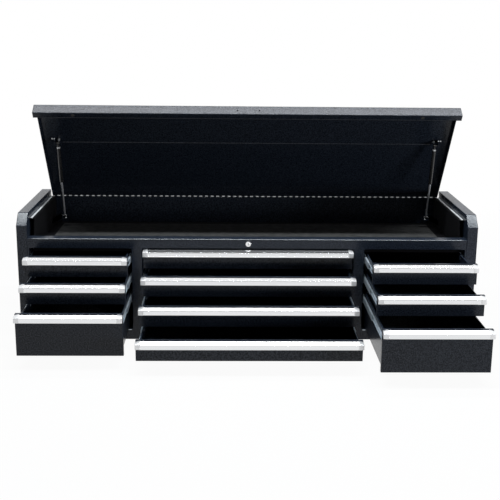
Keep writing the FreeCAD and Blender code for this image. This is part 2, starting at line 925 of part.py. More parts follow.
def make_case_brackets():
    """Cranked plates on the walls of the till, each with the pin that the rod turns on."""
    bracket = new_body("case_bracket")
    wall = dim.till_half_width - dim.steel
    gauge = dim.bracket_gauge
    leg = dim.bracket_leg
    tab = strut_x + eye_face + dim.case_bracket_gap
    shelf = dim.strut_foot_z - dim.case_bracket_drop
    top = dim.strut_foot_z + dim.case_bracket_drop
    section = [
        (dim.case_bracket_reach, shelf),
        (wall - gauge, shelf),
        (wall - gauge, shelf - leg),
        (wall, shelf - leg),
        (wall, shelf + gauge),
        (tab + gauge, shelf + gauge),
        (tab + gauge, top),
        (tab, top),
        (tab, shelf + gauge),
        (dim.case_bracket_reach, shelf + gauge),
    ]
    pad_outline(bracket, "XZ", dim.strut_foot_y - leg / 2, leg, section)
    pivot = (dim.strut_foot_y, dim.strut_foot_z)
    inner_end = strut_x - eye_face
    head_start = inner_end - gauge
    pad_circle(bracket, "YZ", inner_end, tab - inner_end + 1, pivot, dim.strut_pin_radius)
    pad_circle(bracket, "YZ", head_start, gauge + 0.5, pivot, dim.strut_pin_radius + gauge)
    keep(group("strut_case_brackets", [bracket, mirrored(bracket, "other_case_bracket")]))


def make_lid_brackets():
    """Angle plates under the lid, each with a ball stud beside the strut's socket."""
    bracket = new_body("lid_bracket")
    gauge = dim.bracket_gauge
    width = dim.bracket_tab
    under = dim.wing_height - dim.steel
    web = strut_x + eye_face + dim.lid_bracket_gap
    inner_edge = strut_x - dim.strut_pin_radius
    outer_edge = web + dim.bracket_leg
    low = dim.hinge_height - dim.lid_bracket_drop
    y = hinge_y - dim.strut_reach
    section = [
        (inner_edge, under - gauge),
        (web, under - gauge),
        (web, low),
        (web + gauge, low),
        (web + gauge, under - gauge),
        (outer_edge, under - gauge),
        (outer_edge, under),
        (inner_edge, under),
    ]
    pad_outline(bracket, "XZ", y - width / 2, width, section)
    stud_start = strut_x + eye_face + dim.ball_joint_gap
    pad_circle(bracket, "YZ", stud_start, web - stud_start + 1, (y, dim.hinge_height),
               dim.strut_stud_radius)
    keep_on_lid(group("strut_lid_brackets", [bracket, mirrored(bracket, "other_lid_bracket")]))


# ---------------------------------------------------------------------------
# Lock
# ---------------------------------------------------------------------------

def make_lock():
    """A cam lock in the middle of the fascia."""
    centre = (zero, dim.lock_height)
    barrel = new_body("lock_barrel")
    pad_circle(barrel, "XZ", front - dim.lock_bezel, dim.lock_bezel, centre,
               dim.lock_bezel_radius)
    pad_circle(barrel, "XZ", front - 1, dim.lock_depth + 1, centre, dim.lock_radius)
    cut_circle(barrel, "XZ", front - dim.lock_bezel, dim.lock_bezel + dim.lock_depth, centre,
               dim.lock_plug_radius + dim.pin_clearance)
    keep(barrel)
    plug = new_body("lock_plug")
    nose = front - dim.lock_bezel - dim.lock_plug_proud
    cam_face = front + dim.lock_depth
    tail = cam_face + dim.lock_plug_proud
    pad_circle(plug, "XZ", nose, tail - nose, centre, dim.lock_plug_radius)
    tip = dim.lock_cam_tip / 2
    cam = [
        (-dim.lock_plug_radius, dim.lock_height),
        (dim.lock_plug_radius, dim.lock_height),
        (tip, dim.lock_height + dim.lock_cam_length),
        (-tip, dim.lock_height + dim.lock_cam_length),
    ]
    pad_outline(plug, "XZ", cam_face, dim.lock_cam_gauge, cam)
    slot_half = dim.keyway_width / 2
    slot_rise = dim.keyway_height / 2
    keyway = rectangle((-slot_half, dim.lock_height - slot_rise),
                       (slot_half, dim.lock_height + slot_rise))
    cut_outline(plug, "XZ", nose, dim.keyway_depth, keyway)
    keep(plug)


# ---------------------------------------------------------------------------
# Build, check and write out
# ---------------------------------------------------------------------------

def build():
    make_side_panels()
    make_back_panel()
    make_bottom_pan()
    make_front_frame()
    make_partitions()
    make_till_tray()
    make_till_mat()
    members = make_slide_members()
    drawers = list_drawers()
    make_case_rails(drawers, members)
    for drawer in drawers:
        make_drawer(drawer, members)
    make_lid_panel()
    make_hinge()
    make_lid_bumpers()
    make_strut_rods()
    make_strut_cylinders()
    make_case_brackets()
    make_lid_brackets()
    make_lock()
    doc.recompute()


def check():
    """Stop if any object failed or any sub-part has no sound shape."""
    for thing in doc.Objects:
        if "Invalid" in thing.State or "Error" in thing.State:
            raise RuntimeError(thing.Label + " failed: " + str(thing.State))
    for piece in parts:
        shape = piece.Shape
        if shape.isNull() or not shape.isValid() or not shape.Solids:
            raise RuntimeError(piece.Label + " has no sound shape")


def write_out():
    os.makedirs("parts", exist_ok=True)
    for piece in parts:
        piece.Shape.exportStep("parts/" + piece.Label + ".step")
        print(piece.Label, len(piece.Shape.Solids), "solids", round(piece.Shape.Volume), "mm3")


build()
check()
write_out()
print(len(parts), "sub-parts")
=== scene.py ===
# %% [markdown]
# # A machinist's tool chest
# This lesson dresses a wide top chest: folded steel under a black powder coat, ten drawers
# on ball-bearing slides, aluminium pulls, and a lid on gas struts.
# The frame brings the chest's plain solids, each in its place. We copy their folds, round
# them as a press brake would, and add the parts that a plain solid leaves out.

# %% Load the frame
import math

import bmesh
import bpy
from mathutils import Matrix, Vector


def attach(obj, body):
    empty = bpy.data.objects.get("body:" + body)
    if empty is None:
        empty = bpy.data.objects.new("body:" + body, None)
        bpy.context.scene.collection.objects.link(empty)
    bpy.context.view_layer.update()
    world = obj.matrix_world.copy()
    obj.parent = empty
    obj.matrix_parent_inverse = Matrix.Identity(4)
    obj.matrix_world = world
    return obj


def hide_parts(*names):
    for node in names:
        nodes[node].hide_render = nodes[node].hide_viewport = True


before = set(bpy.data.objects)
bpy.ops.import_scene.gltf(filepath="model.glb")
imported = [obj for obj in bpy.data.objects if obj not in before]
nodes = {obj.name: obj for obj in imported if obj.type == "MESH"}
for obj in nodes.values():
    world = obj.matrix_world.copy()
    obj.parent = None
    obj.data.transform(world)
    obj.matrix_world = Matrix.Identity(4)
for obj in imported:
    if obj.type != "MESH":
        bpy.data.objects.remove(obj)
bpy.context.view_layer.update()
scene = bpy.context.scene
print("solids in the frame:", len(nodes))

# %% [markdown]
# ## The camera
# A chest this wide is seen from a few steps away and a little above, so that the drawers
# show their insides. A camera can be aimed with a constraint, but writing out its own axes
# keeps the small turn and roll exact: right, up and back are the columns of its matrix.

# %% Camera
FOCAL_LENGTH = 67.6
SENSOR_WIDTH = 36
CAMERA_PLACE = Vector((-0.0839, -3.8909, 1.3004))
CAMERA_PITCH = math.radians(14.34)
CAMERA_YAW = math.radians(1.44)
CAMERA_ROLL = math.radians(-0.59)


def camera_matrix():
    ahead = Vector((math.sin(CAMERA_YAW), math.cos(CAMERA_YAW), 0))
    across = Vector((math.cos(CAMERA_YAW), -math.sin(CAMERA_YAW), 0))
    rise = Vector((0, 0, 1))
    look = ahead * math.cos(CAMERA_PITCH) - rise * math.sin(CAMERA_PITCH)
    over = ahead * math.sin(CAMERA_PITCH) + rise * math.cos(CAMERA_PITCH)
    right = across * math.cos(CAMERA_ROLL) - over * math.sin(CAMERA_ROLL)
    up = across * math.sin(CAMERA_ROLL) + over * math.cos(CAMERA_ROLL)
    turn = Matrix((right, up, -look)).transposed().to_4x4()
    return Matrix.Translation(CAMERA_PLACE) @ turn


camera_data = bpy.data.cameras.new("camera")
camera_data.lens = FOCAL_LENGTH
camera_data.sensor_width = SENSOR_WIDTH
camera = bpy.data.objects.new("camera", camera_data)
camera.matrix_world = camera_matrix()
scene.collection.objects.link(camera)
scene.camera = camera
print("the camera's back points along", [round(v, 3) for v in camera.matrix_world.col[2][:3]])

# %% [markdown]
# ## Millimetres
# Sheet-metal workers think in millimetres, and so do the sizes below. Every helper draws in
# millimetres, and a piece is brought to metres once, when it is finished.
# The lid's own pieces are drawn with the lid shut, where their sizes are easy to read. One
# matrix, the hinge's swing, then lifts them to where the lid stands.

# %% Sizes of the chest
MM = 0.001
GAUGE = 1.2
FRONT = -274.0
HINGE_Y = 268.1
HINGE_Z = 486.0
LID_OPEN = math.radians(54.84)
HINGE_SWING = (Matrix.Translation((0, HINGE_Y, HINGE_Z)) @ Matrix.Rotation(-LID_OPEN, 4, "X")
               @ Matrix.Translation((0, -HINGE_Y, -HINGE_Z)))
print("the lid stands open by", round(math.degrees(LID_OPEN), 2), "degrees")

# %% [markdown]
# ## Where the drawers stand
# Three banks hold ten drawers in rows of one pitch. The lowest drawer of each side bank takes
# two rows. A small class works out each drawer's place from its bank and row, so that the
# pulls, slides and screws below can all ask the same drawer.

# %% Drawers
ROW_PITCH = 83.0
ROW_GAP = 3.0
FIRST_ROW_TOP = 377.0
SLIDE_DROP = 42
BANKS = {"left": (-665.5, 403.0), "centre": (0.0, 842.0), "right": (665.5, 403.0)}
DRAWN_OUT = {
    "left": (126, 213, 322),
    "centre": (0, 110, 228, 374),
    "right": (214, 344, 485),
}


class Drawer:
    """Where one drawer is at rest, and its sizes."""

    def __init__(self, bank, row):
        self.name = bank + "_drawer_" + str(row + 1)
        self.x, self.opening = BANKS[bank]
        tall = bank != "centre" and row == 2
        self.height = ROW_PITCH * (2 if tall else 1) - ROW_GAP
        self.z = FIRST_ROW_TOP - ROW_PITCH * row - self.height
        self.drawn = DRAWN_OUT[bank][row]
        self.half_front = self.opening / 2 - ROW_GAP
        self.slide_z = self.z + self.height - SLIDE_DROP

    def face(self, share=1.0):
        """The y of what follows the drawer by a share of its travel, and starts at the front."""
        return FRONT - self.drawn * share


drawers = [Drawer(bank, row) for bank, rows in DRAWN_OUT.items() for row in range(len(rows))]
print("drawers:", [d.name for d in drawers])

# %% [markdown]
# ## Nodes
# Materials and Geometry Nodes are both trees of nodes. Adding a node, setting its sockets and
# linking it take three calls each time, so one helper does all three, for every tree below.

# %% A helper for nodes
def add_node(tree, kind, inputs=None, **settings):
    """Adds a node and gives its outputs. inputs maps a socket's name or number to a value, to
    the output of another node, or to a list of outputs where a socket takes several."""
    node = tree.nodes.new(kind)
    for key, value in settings.items():
        setattr(node, key, value)
    for key, value in (inputs or {}).items():
        for item in value if isinstance(value, list) else [value]:
            if isinstance(item, bpy.types.NodeSocket):
                tree.links.new(item, node.inputs[key])
            else:
                node.inputs[key].default_value = item
    return node.outputs


print("nodes in the scene's own trees so far:", sum(len(g.nodes) for g in bpy.data.node_groups))

# %% [markdown]
# ## Finishes
# Powder coat is paint baked from dust. It dries with a fine pebbled skin, so its colour hardly
# changes while its gloss breaks up. Image textures could show that, but noise on Object
# coordinates has no seams, needs no unwrapping, and keeps its grain at any size.

# %% A helper for finishes
class Finish:
    """A material of one Principled shader, with noise on Object coordinates."""

    def __init__(self, name, colour, metallic, roughness):
        self.material = bpy.data.materials.new(name)
        self.material.use_nodes = True
        self.tree = self.material.node_tree
        self.shader = self.tree.nodes["Principled BSDF"]
        self.place = add_node(self.tree, "ShaderNodeTexCoord")["Object"]
        self.set("Base Color", (*colour, 1))
        self.set("Metallic", metallic)
        self.set("Roughness", roughness)

    def set(self, socket, value):
        self.shader.inputs[socket].default_value = value

    def drive(self, socket, value):
        self.tree.links.new(value, self.shader.inputs[socket])

    def noise(self, size_mm, detail=2.0, stretch=(1, 1, 1)):
        """Noise whose lumps are about size_mm across, drawn out along an axis by stretch."""
        drawn = add_node(self.tree, "ShaderNodeMapping", {
            "Vector": self.place, "Scale": tuple(1 / s for s in stretch)})["Vector"]
        return add_node(self.tree, "ShaderNodeTexNoise", {
            "Vector": drawn, "Scale": 1 / (size_mm * MM), "Detail": detail})["Fac"]

    def spread(self, value, low, high, start=0.3, end=0.7):
        """The value's middle range, stretched to run from low to high."""
        return add_node(self.tree, "ShaderNodeMapRange", {
            "Value": value, "From Min": start, "From Max": end, "To Min": low,
            "To Max": high})["Result"]

    def blend(self, value, first, second):
        """A colour between two, by a value from 0 to 1."""
        return add_node(self.tree, "ShaderNodeMix", {
            "Factor": value, "A": (*first, 1), "B": (*second, 1)}, data_type="RGBA")["Result"]

    def bump(self, *heights):
        """Stacks bumps: each height is (value, strength, depth in mm)."""
        normal = None
        for value, strength, depth in heights:
            sockets = {"Height": value, "Strength": strength, "Distance": depth * MM}
            if normal:
                sockets["Normal"] = normal
            normal = add_node(self.tree, "ShaderNodeBump", sockets)["Normal"]
        self.drive("Normal", normal)


print("a grain of 1 mm needs a noise scale of", round(1 / MM))

# %% [markdown]
# ## One grain for many finishes
# Most finishes differ only in their numbers. A fine grain breaks up the gloss and raises the
# surface a little, and the same grain or a wider patch moves the shade between two colours.
# One function builds them all, so that each finish below is a short list of what sets it apart.

# %% A grained finish
def grained(name, colour, metallic, roughness, grain, gloss, relief=None, shades=None,
            patch=None, level=None):
    """A finish whose grain moves its gloss and relief. A patch moves its shade, or the grain
    does. grain and patch are what noise takes; relief is a strength and a depth in mm."""
    finish = Finish(name, colour, metallic, roughness)
    fine = finish.noise(*grain)
    finish.drive("Roughness", finish.spread(fine, *gloss))
    if shades:
        coarse = finish.noise(*patch) if patch else fine
        finish.drive("Base Color", finish.blend(finish.spread(coarse, 0, 1), *shades))
    if level is not None:
        finish.set("Specular IOR Level", level)
    if relief:
        finish.bump((fine, *relief))
    return finish.material


print("materials before the first finish:", len(bpy.data.materials))

# %% [markdown]
# ## Paints
# The case wears one powder coat. Where it bends over a fold the skin is drawn smooth, so the
# narrow crest gets the same paint with a weaker bump. The insides of the pulls and the till
# are a flat black, darker than the coat: painted shade, standing in for the shade behind the
# nosings and in the till under the open lid. A dark slip in the lock's keyway is painted shade
# too, and the struts wear a smooth enamel.

# %% Black paints
def black_powder_coat(name, pebble):
    """The chest's paint. pebble scales its bumps: on a fold's crest the skin draws smooth."""
    dark, light = (0.007, 0.0105, 0.018), (0.034, 0.045, 0.068)
    paint = Finish(name, dark, 0, 0.3)
    grain = paint.noise(1.6, 3)
    cloud = paint.noise(9, 2)
    speckle = paint.noise(4.5, 1)
    paint.drive("Base Color", paint.blend(paint.spread(speckle, 0, 1), dark, light))
    paint.drive("Roughness", paint.spread(grain, 0.24, 0.4))
    paint.set("Specular IOR Level", 0.02)
    paint.set("Specular Tint", (0.8, 0.9, 1.0, 1))
    paint.drive("Coat Weight", paint.spread(speckle, 0.3, 0.62))
    paint.set("Coat Roughness", 0.17)
    paint.bump((grain, 0.3 * pebble, 0.2), (cloud, 0.08 * pebble, 0.5))
    return paint.material


# Painted shade: a flat black darker than the coat, for the till and the shelves behind the
# nosings.
def matt_black_paint():
    return grained("matt_black_paint", (0.004, 0.004, 0.005), metallic=0, roughness=0.9,
                   shades=((0.003, 0.003, 0.004), (0.006, 0.006, 0.007)), level=0.1,
                   grain=(1.6, 2), gloss=(0.8, 0.95), relief=(0.2, 0.1))


def strut_paint():
    return grained("strut_black", (0.012, 0.012, 0.013), metallic=0, roughness=0.3,
                   shades=((0.009, 0.009, 0.01), (0.016, 0.016, 0.018)),
                   grain=(6, 2), gloss=(0.24, 0.36), relief=(0.05, 0.1))


# Painted shade: the dark slip's paint stands in for the shade inside the keyway.
def keyway_shade_paint():
    return grained("dark_recess", (0.006, 0.006, 0.006), metallic=0, roughness=0.7,
                   grain=(1.0, 2), gloss=(0.6, 0.8), relief=(0.1, 0.05))


finishes = {
    "black_paint": black_powder_coat("black_powder_coat", pebble=1),
    "crest_paint": black_powder_coat("crest_powder_coat", pebble=0.2),
    "matt_black": matt_black_paint(),
    "strut_black": strut_paint(),
    "recess": keyway_shade_paint(),
}
print("paints:", sorted(finishes))

# %% [markdown]
# ## Metals
# Aluminium is brushed along the pull, so its grain is drawn out along X until it is lines.
# Zinc has streaks in its gloss and wide spangles in its shade. Chrome is smooth and barely
# swirls. A ground rod has fine rings round it, made by a grain drawn out along X and Y.

# %% Metals
def brushed_aluminium():
    return grained("pull_aluminium", (0.8, 0.81, 0.82), metallic=1.0, roughness=0.2,
                   shades=((0.76, 0.77, 0.785), (0.8, 0.805, 0.815)),
                   patch=(40, 1, (8, 1, 1)), grain=(0.5, 2, (400, 1, 1)), gloss=(0.1, 0.13))


def cap_silver():
    return grained("pull_cap_silver", (0.74, 0.745, 0.755), metallic=0.8, roughness=0.4,
                   shades=((0.7, 0.705, 0.715), (0.78, 0.785, 0.795)),
                   grain=(0.7, 2), gloss=(0.36, 0.46), relief=(0.12, 0.08))


def zinc_plate():
    return grained("zinc_steel", (0.62, 0.72, 0.8), metallic=0.5, roughness=0.42,
                   shades=((0.56, 0.66, 0.74), (0.7, 0.77, 0.83)), patch=(14, 3),
                   grain=(3, 3, (1, 30, 1)), gloss=(0.32, 0.5), relief=(0.1, 0.08))


def bright_zinc():
    return grained("bright_zinc", (0.8, 0.83, 0.85), metallic=0.55, roughness=0.22,
                   shades=((0.76, 0.8, 0.83), (0.86, 0.88, 0.9)),
                   grain=(2, 3), gloss=(0.16, 0.3), relief=(0.05, 0.05))


def bright_chrome():
    return grained("lock_chrome", (0.78, 0.79, 0.8), metallic=1, roughness=0.14,
                   grain=(4, 3), gloss=(0.08, 0.22), relief=(0.05, 0.05))


def ground_rod():
    return grained("polished_rod", (0.74, 0.76, 0.8), metallic=0.55, roughness=0.3,
                   grain=(0.6, 2, (20, 20, 1)), gloss=(0.26, 0.36), relief=(0.06, 0.03))


def satin_steel():
    return grained("satin_steel", (0.34, 0.35, 0.36), metallic=0.9, roughness=0.42,
                   shades=((0.3, 0.31, 0.32), (0.4, 0.41, 0.42)),
                   grain=(0.8, 2), gloss=(0.36, 0.5), relief=(0.08, 0.05))


finishes["pull_aluminium"] = brushed_aluminium()
finishes["pull_cap"] = cap_silver()
finishes["zinc_steel"] = zinc_plate()
finishes["bright_zinc"] = bright_zinc()
finishes["lock_chrome"] = bright_chrome()
finishes["polished_rod"] = ground_rod()
finishes["satin_steel"] = satin_steel()
print("paints and metals:", len(finishes))

# %% [markdown]
# ## Rubber and the pale ledge strips
# Rubber is the only soft surface. Rubber and the pale ledge strips hardly shine, so their
# roughness is high and the relief does the work. The till mat has a deep grain under worn
# patches, and the buttons a fine even one. The ledge strips are pale as a painted highlight,
# standing in for the bright line that light draws along each ledge; their grain runs along the
# strip.

# %% Rubber and the pale ledge strips
def grained_mat():
    return grained("till_mat", (0.06, 0.06, 0.06), metallic=0, roughness=0.85, level=0.04,
                   shades=((0.05, 0.05, 0.05), (0.085, 0.084, 0.082)), patch=(30, 3),
                   grain=(1.8, 4), gloss=(0.7, 0.95), relief=(0.6, 0.6))


def soft_rubber():
    return grained("bumper_rubber", (0.025, 0.025, 0.026), metallic=0, roughness=0.7,
                   shades=((0.02, 0.02, 0.021), (0.035, 0.035, 0.036)),
                   grain=(0.8, 2), gloss=(0.6, 0.8), relief=(0.3, 0.1))


# Painted highlight: the strip is pale to stand in for the bright line that light draws along
# each ledge.
def pale_felt():
    return grained("pale_felt", (0.45, 0.46, 0.47), metallic=0, roughness=0.9,
                   shades=((0.72, 0.73, 0.74), (0.84, 0.85, 0.86)),
                   grain=(0.9, 4, (1, 3, 1)), gloss=(0.8, 1), relief=(0.4, 0.2))


finishes["till_mat"] = grained_mat()
finishes["bumper_rubber"] = soft_rubber()
finishes["pale_felt"] = pale_felt()
print("finishes:", sorted(finishes))

# %% [markdown]
# ## Outlines
# Most of the chest is sheet folded along straight lines, or bar turned on a lathe, so most
# pieces start as an outline. Sharp corners never catch light, so an outline gets its corners
# rounded first: each corner is cut back by its tangent length and joined by an arc.

# %% Outlines with round corners
SHORTEST_TANGENT = 0.01
LONGEST_SHARE = 0.49


def eased(points, radius, steps=4):
    """A closed outline with an arc in place of each corner. radius is one size or one each."""
    count = len(points)
    radii = radius if isinstance(radius, (list, tuple)) else [radius] * count
    outline = []
    for index in range(count):
        here = Vector(points[index])
        before = Vector(points[index - 1]) - here
        after = Vector(points[(index + 1) % count]) - here
        angle = before.angle(after)
        tangent = radii[index] / math.tan(angle / 2) if radii[index] else 0
        tangent = min(tangent, before.length * LONGEST_SHARE, after.length * LONGEST_SHARE)
        if tangent < SHORTEST_TANGENT:
            outline.append(tuple(here))
            continue
        start = here + before.normalized() * tangent
        end = here + after.normalized() * tangent
        bow = tangent * math.tan(angle / 2)
        middle = here + (before.normalized() + after.normalized()).normalized() * (
            math.hypot(bow, tangent))
        first = math.atan2(*(start - middle).yx)
        turn = math.atan2(*(end - middle).yx) - first
        turn = (turn + math.pi) % (2 * math.pi) - math.pi
        for step in range(steps + 1):
            at = first + turn * step / steps
            outline.append((middle.x + bow * math.cos(at), middle.y + bow * math.sin(at)))
    return outline


def block(low, high):
    """A rectangular outline."""
    return [(low[0], low[1]), (high[0], low[1]), (high[0], high[1]), (low[0], high[1])]


print("a rectangle with eased corners:", len(eased(block((0, 0), (10, 6)), 1)), "points")

# %% [markdown]
# ## Pushing and turning
# Two helpers do most of the work: one pushes an outline along an axis, as an extrusion press
# does, and the other spins a profile round it, as a lathe does. Both add to a bmesh, so that
# a piece can be made of several such bodies.

# %% Push and spin
AXES = {
    "X": lambda along, a, b: (along, a, b),
    "Y": lambda along, a, b: (a, along, b),
    "Z": lambda along, a, b: (a, b, along),
}


def ring_faces(shape, one, two):
    """The faces between two rings of as many vertices."""
    count = len(one)
    return [shape.faces.new((one[i], two[i], two[(i + 1) % count], one[(i + 1) % count]))
            for i in range(count)]


def push(shape, outline, axis, low, high, ease=0.0):
    """Adds the solid that an outline sweeps along an axis. ease rounds the edges of its ends."""
    point = AXES[axis]
    ends = [[shape.verts.new(point(at, a, b)) for a, b in outline] for at in (low, high)]
    caps = [shape.faces.new(ends[0]), shape.faces.new(ends[1][::-1])]
    faces = caps + ring_faces(shape, *ends)
    bmesh.ops.recalc_face_normals(shape, faces=faces)
    if ease:
        edges = [edge for cap in caps for edge in cap.edges]
        bmesh.ops.bevel(shape, geom=edges, offset=ease, segments=2, profile=0.5,
                        affect="EDGES", clamp_overlap=True)


def spin(shape, profile, centre, axis, steps=32):
    """Adds a turned solid. The profile runs along the axis as (place, radius) pairs."""
    point = AXES[axis]
    rings = []
    for along, radius in profile:
        ring = []
        for step in range(steps):
            at = 2 * math.pi * step / steps
            a, b = radius * math.cos(at), radius * math.sin(at)
            ring.append(shape.verts.new(Vector(point(along, a, b)) + Vector(centre)))
        rings.append(ring)
    faces = [shape.faces.new(rings[0]), shape.faces.new(rings[-1][::-1])]
    for one, two in zip(rings, rings[1:]):
        faces += ring_faces(shape, one, two)
    bmesh.ops.recalc_face_normals(shape, faces=faces)


print("axes to push along or spin round:", sorted(AXES))

# %% [markdown]
# ## Finishing a piece
# A bend rounds an edge, but the flats beside it stay flat. Plain smooth shading would smear
# light over both, so a Weighted Normal modifier lets the large faces set the direction.
# The modifier's result is kept as a plain mesh, and the piece then rides on its body.

# %% Pieces
SHARP_ANGLE = math.radians(40)
made = []


def dressed(name, shape, finish):
    """An object in metres from a bmesh in millimetres, smooth and in its finish."""
    shape.transform(Matrix.Scale(MM, 4))
    mesh = bpy.data.meshes.new(name)
    shape.to_mesh(mesh)
    shape.free()
    mesh.materials.append(finishes[finish])
    mesh.shade_smooth()
    piece = bpy.data.objects.new(name, mesh)
    scene.collection.objects.link(piece)
    return piece


def settled(piece):
    """Applies a piece's modifiers by swapping in the evaluated mesh."""
    graph = bpy.context.evaluated_depsgraph_get()
    mesh = bpy.data.meshes.new_from_object(
        piece.evaluated_get(graph), preserve_all_data_layers=True, depsgraph=graph)
    mesh.name = piece.name
    piece.modifiers.clear()
    piece.data = mesh


def weighted(piece):
    """Adds the modifier that lets large faces set the shading, and settles the piece."""
    normals = piece.modifiers.new("normals", "WEIGHTED_NORMAL")
    normals.keep_sharp = True
    settled(piece)


def finished(name, shape, body, finish, replaces=(), place=None):
    """Turns a bmesh in millimetres into a piece that rides on a body."""
    if place:
        shape.transform(place)
    piece = dressed(name, shape, finish)
    piece.data.set_sharp_from_angle(angle=SHARP_ANGLE)
    weighted(piece)
    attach(piece, body)
    if replaces:
        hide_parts(*replaces)
    made.append(piece)
    return piece


print("edges stay sharp above", round(math.degrees(SHARP_ANGLE)), "degrees")

# %% [markdown]
# ## Folded sheet
# On the real chest every panel is 1.2 mm sheet, cut flat and folded. Its folds are round,
# its cut edges are almost sharp. The frame's solids have both as sharp corners. We weld a
# copy, tell folds from cut edges by the width of the faces beside them, and bevel each by its
# own radius: the outside of a fold by more than its inside, so that the sheet keeps its gauge.

# %% Telling folds from cut edges
WELD_DISTANCE = 2e-5
FLAT_ANGLE = math.radians(0.5)
FOLD_ANGLE = math.radians(30)
NARROW = GAUGE * 1.15
CUT_EASE = 0.25
LEAST_FOLD = 0.3


def welded(node):
    """A copy of a solid's mesh, in millimetres, with its loose triangles joined."""
    shape = bmesh.new()
    shape.from_mesh(nodes[node].data)
    bmesh.ops.remove_doubles(shape, verts=shape.verts, dist=WELD_DISTANCE)
    shape.transform(Matrix.Scale(1 / MM, 4))
    bmesh.ops.dissolve_limit(shape, angle_limit=FLAT_ANGLE, verts=shape.verts,
                             edges=shape.edges)
    return shape


def is_narrow(face, edge, limit):
    """True if a face reaches no further than limit from one of its edges."""
    start = edge.verts[0].co
    along = (edge.verts[1].co - start).normalized()
    for vertex in face.verts:
        away = vertex.co - start
        if (away - along * away.dot(along)).length > limit:
            return False
    return True


def weigh_folds(shape, fold):
    """Marks the folds and the cut edges of a sheet for a bevel, each with its own radius."""
    weight = shape.edges.layers.float.new("bevel_weight_edge")
    folds_out, folds_in, cuts = [], [], []
    for edge in shape.edges:
        if len(edge.link_faces) != 2 or edge.calc_face_angle(0) < FOLD_ANGLE:
            continue
        if any(is_narrow(face, edge, NARROW) for face in edge.link_faces):
            cuts.append(edge)
        elif edge.is_convex:
            folds_out.append(edge)
        else:
            folds_in.append(edge)
    inside = max(fold - GAUGE, LEAST_FOLD)
    for edges, size in ((folds_out, fold), (folds_in, inside), (cuts, CUT_EASE)):
        for edge in edges:
            edge[weight] = size / fold
    return len(folds_out), len(folds_in), len(cuts)


print("a face is a cut edge below", round(NARROW, 2), "mm")

# %% [markdown]
# ## A folded piece
# The marks drive a Bevel modifier by weight. Where two folds meet in a corner the bevel can
# throw a vertex a little way out, so the result is kept inside the solid's own box.

# %% Folded pieces
def folded(name, node, body, finish, fold=2.0):
    """A sheet-metal node again, with round folds and eased edges."""
    shape = welded(node)
    box = [[pick(v.co[i] for v in shape.verts) * MM for i in range(3)] for pick in (min, max)]
    counts = weigh_folds(shape, fold)
    piece = dressed(name, shape, finish)
    bevel = piece.modifiers.new("folds", "BEVEL")
    bevel.limit_method = "WEIGHT"
    bevel.width = fold * MM
    bevel.segments = 3
    bevel.use_clamp_overlap = False
    bevel.miter_outer = "MITER_SHARP"
    weighted(piece)
    for vertex in piece.data.vertices:
        vertex.co = [min(max(c, low), high) for c, low, high in zip(vertex.co, *box)]
    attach(piece, body)
    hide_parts(node)
    made.append(piece)
    print(name, "outer folds, inner folds, cut edges:", counts)


# %% [markdown]
# ## The case
# Two hollow wings, a back, a bottom, a pressed face and two partitions are welded into one
# case. The till tray hangs between the wings. All of them are sheets, so all are folded. The
# wings and the face are pressed in a wider die, so their folds are rounder.

# %% Sheets of the case
WIDE_FOLD = 2.6
folded("right_wing", "right_side_panel", "case", "black_paint", WIDE_FOLD)
folded("left_wing", "left_side_panel", "case", "black_paint", WIDE_FOLD)
folded("back_sheet", "back_panel", "case", "black_paint")
folded("bottom_sheet", "bottom_pan", "case", "black_paint")
folded("face_frame", "front_frame", "case", "black_paint", WIDE_FOLD)

# %% [markdown]
# ## A flat on the rim
# The press leaves a narrow flat along the top fold of the face. It is what catches the light
# as one thin line across the whole chest. A coarser bevel would make such a flat, but on every
# fold of the face at once, so it is laid over this one fold as its own strip.

# %% Flat on the rim
RIM_FLAT = [(-274.2, 417.4), (-272.35, 419.15), (-272.1, 418.7), (-273.8, 417.1)]
RIM_HALF = 854
shape = bmesh.new()
push(shape, RIM_FLAT, "X", -RIM_HALF, RIM_HALF)
finished("rim_flat", shape, "case", "crest_paint")
print("rim flat:", 2 * RIM_HALF, "mm long")

# %% [markdown]
# ## Inside the case
# Two partitions part the banks, and the till lies over all three. Both are folded like the
# rest of the case. The till is a flat black, darker than the coat: painted shade, standing in
# for the shade under the open lid.

# %% Partitions and till
folded("partitions", "bank_partitions", "case", "black_paint")
# The till's flat black is painted shade: darker than the coat, it stands in for the shade under
# the open lid.
folded("till", "till_tray", "case", "matt_black")

# %% [markdown]
# ## Pale strips on the ledges
# The lid's sides come down on ledges beside the wings. A thin pale strip lies on each ledge: a
# painted highlight, standing in for the bright line that light draws along it. It is sunk in by
# a hair so that no gap shows, and it is so thin and even that a flat bar with eased edges is
# enough.

# %% Pale strips on the ledges
LEDGE_STRIP_X = 867.5
LEDGE_STRIP_HALF = 4.5
LEDGE_STRIP_FRONT, LEDGE_STRIP_BACK = -202, 250
LEDGE_STRIP_BOTTOM, LEDGE_STRIP_TOP = 485.4, 486.3
# The pale strips are a painted highlight along each ledge.
shape = bmesh.new()
for side in (-1, 1):
    x = side * LEDGE_STRIP_X
    strip = eased(block((x - LEDGE_STRIP_HALF, LEDGE_STRIP_FRONT), (x + LEDGE_STRIP_HALF, LEDGE_STRIP_BACK)), 3)
    push(shape, strip, "Z", LEDGE_STRIP_BOTTOM, LEDGE_STRIP_TOP, 0.3)
finished("ledge_felt", shape, "case", "pale_felt")
print("felt strips:", LEDGE_STRIP_BACK - LEDGE_STRIP_FRONT, "mm long")

# %% [markdown]
# ## The lid
# The lid is one more folded sheet, turned down on all sides. Its front drops over the rim
# and returns inwards as a lip, where two rubber buttons meet the rim.

# %% Lid sheet
folded("lid", "lid_panel", "lid", "black_paint", WIDE_FOLD)

# %% [markdown]
# ## Bead across the lid
# So wide a sheet would drum, and a shallow bead, pressed into its underside, stiffens it. The
# lid's own mesh could be pushed in, but that would disturb its folds. So the bead is a piece of
# its own: the outline of a low hill, pushed along the lid.

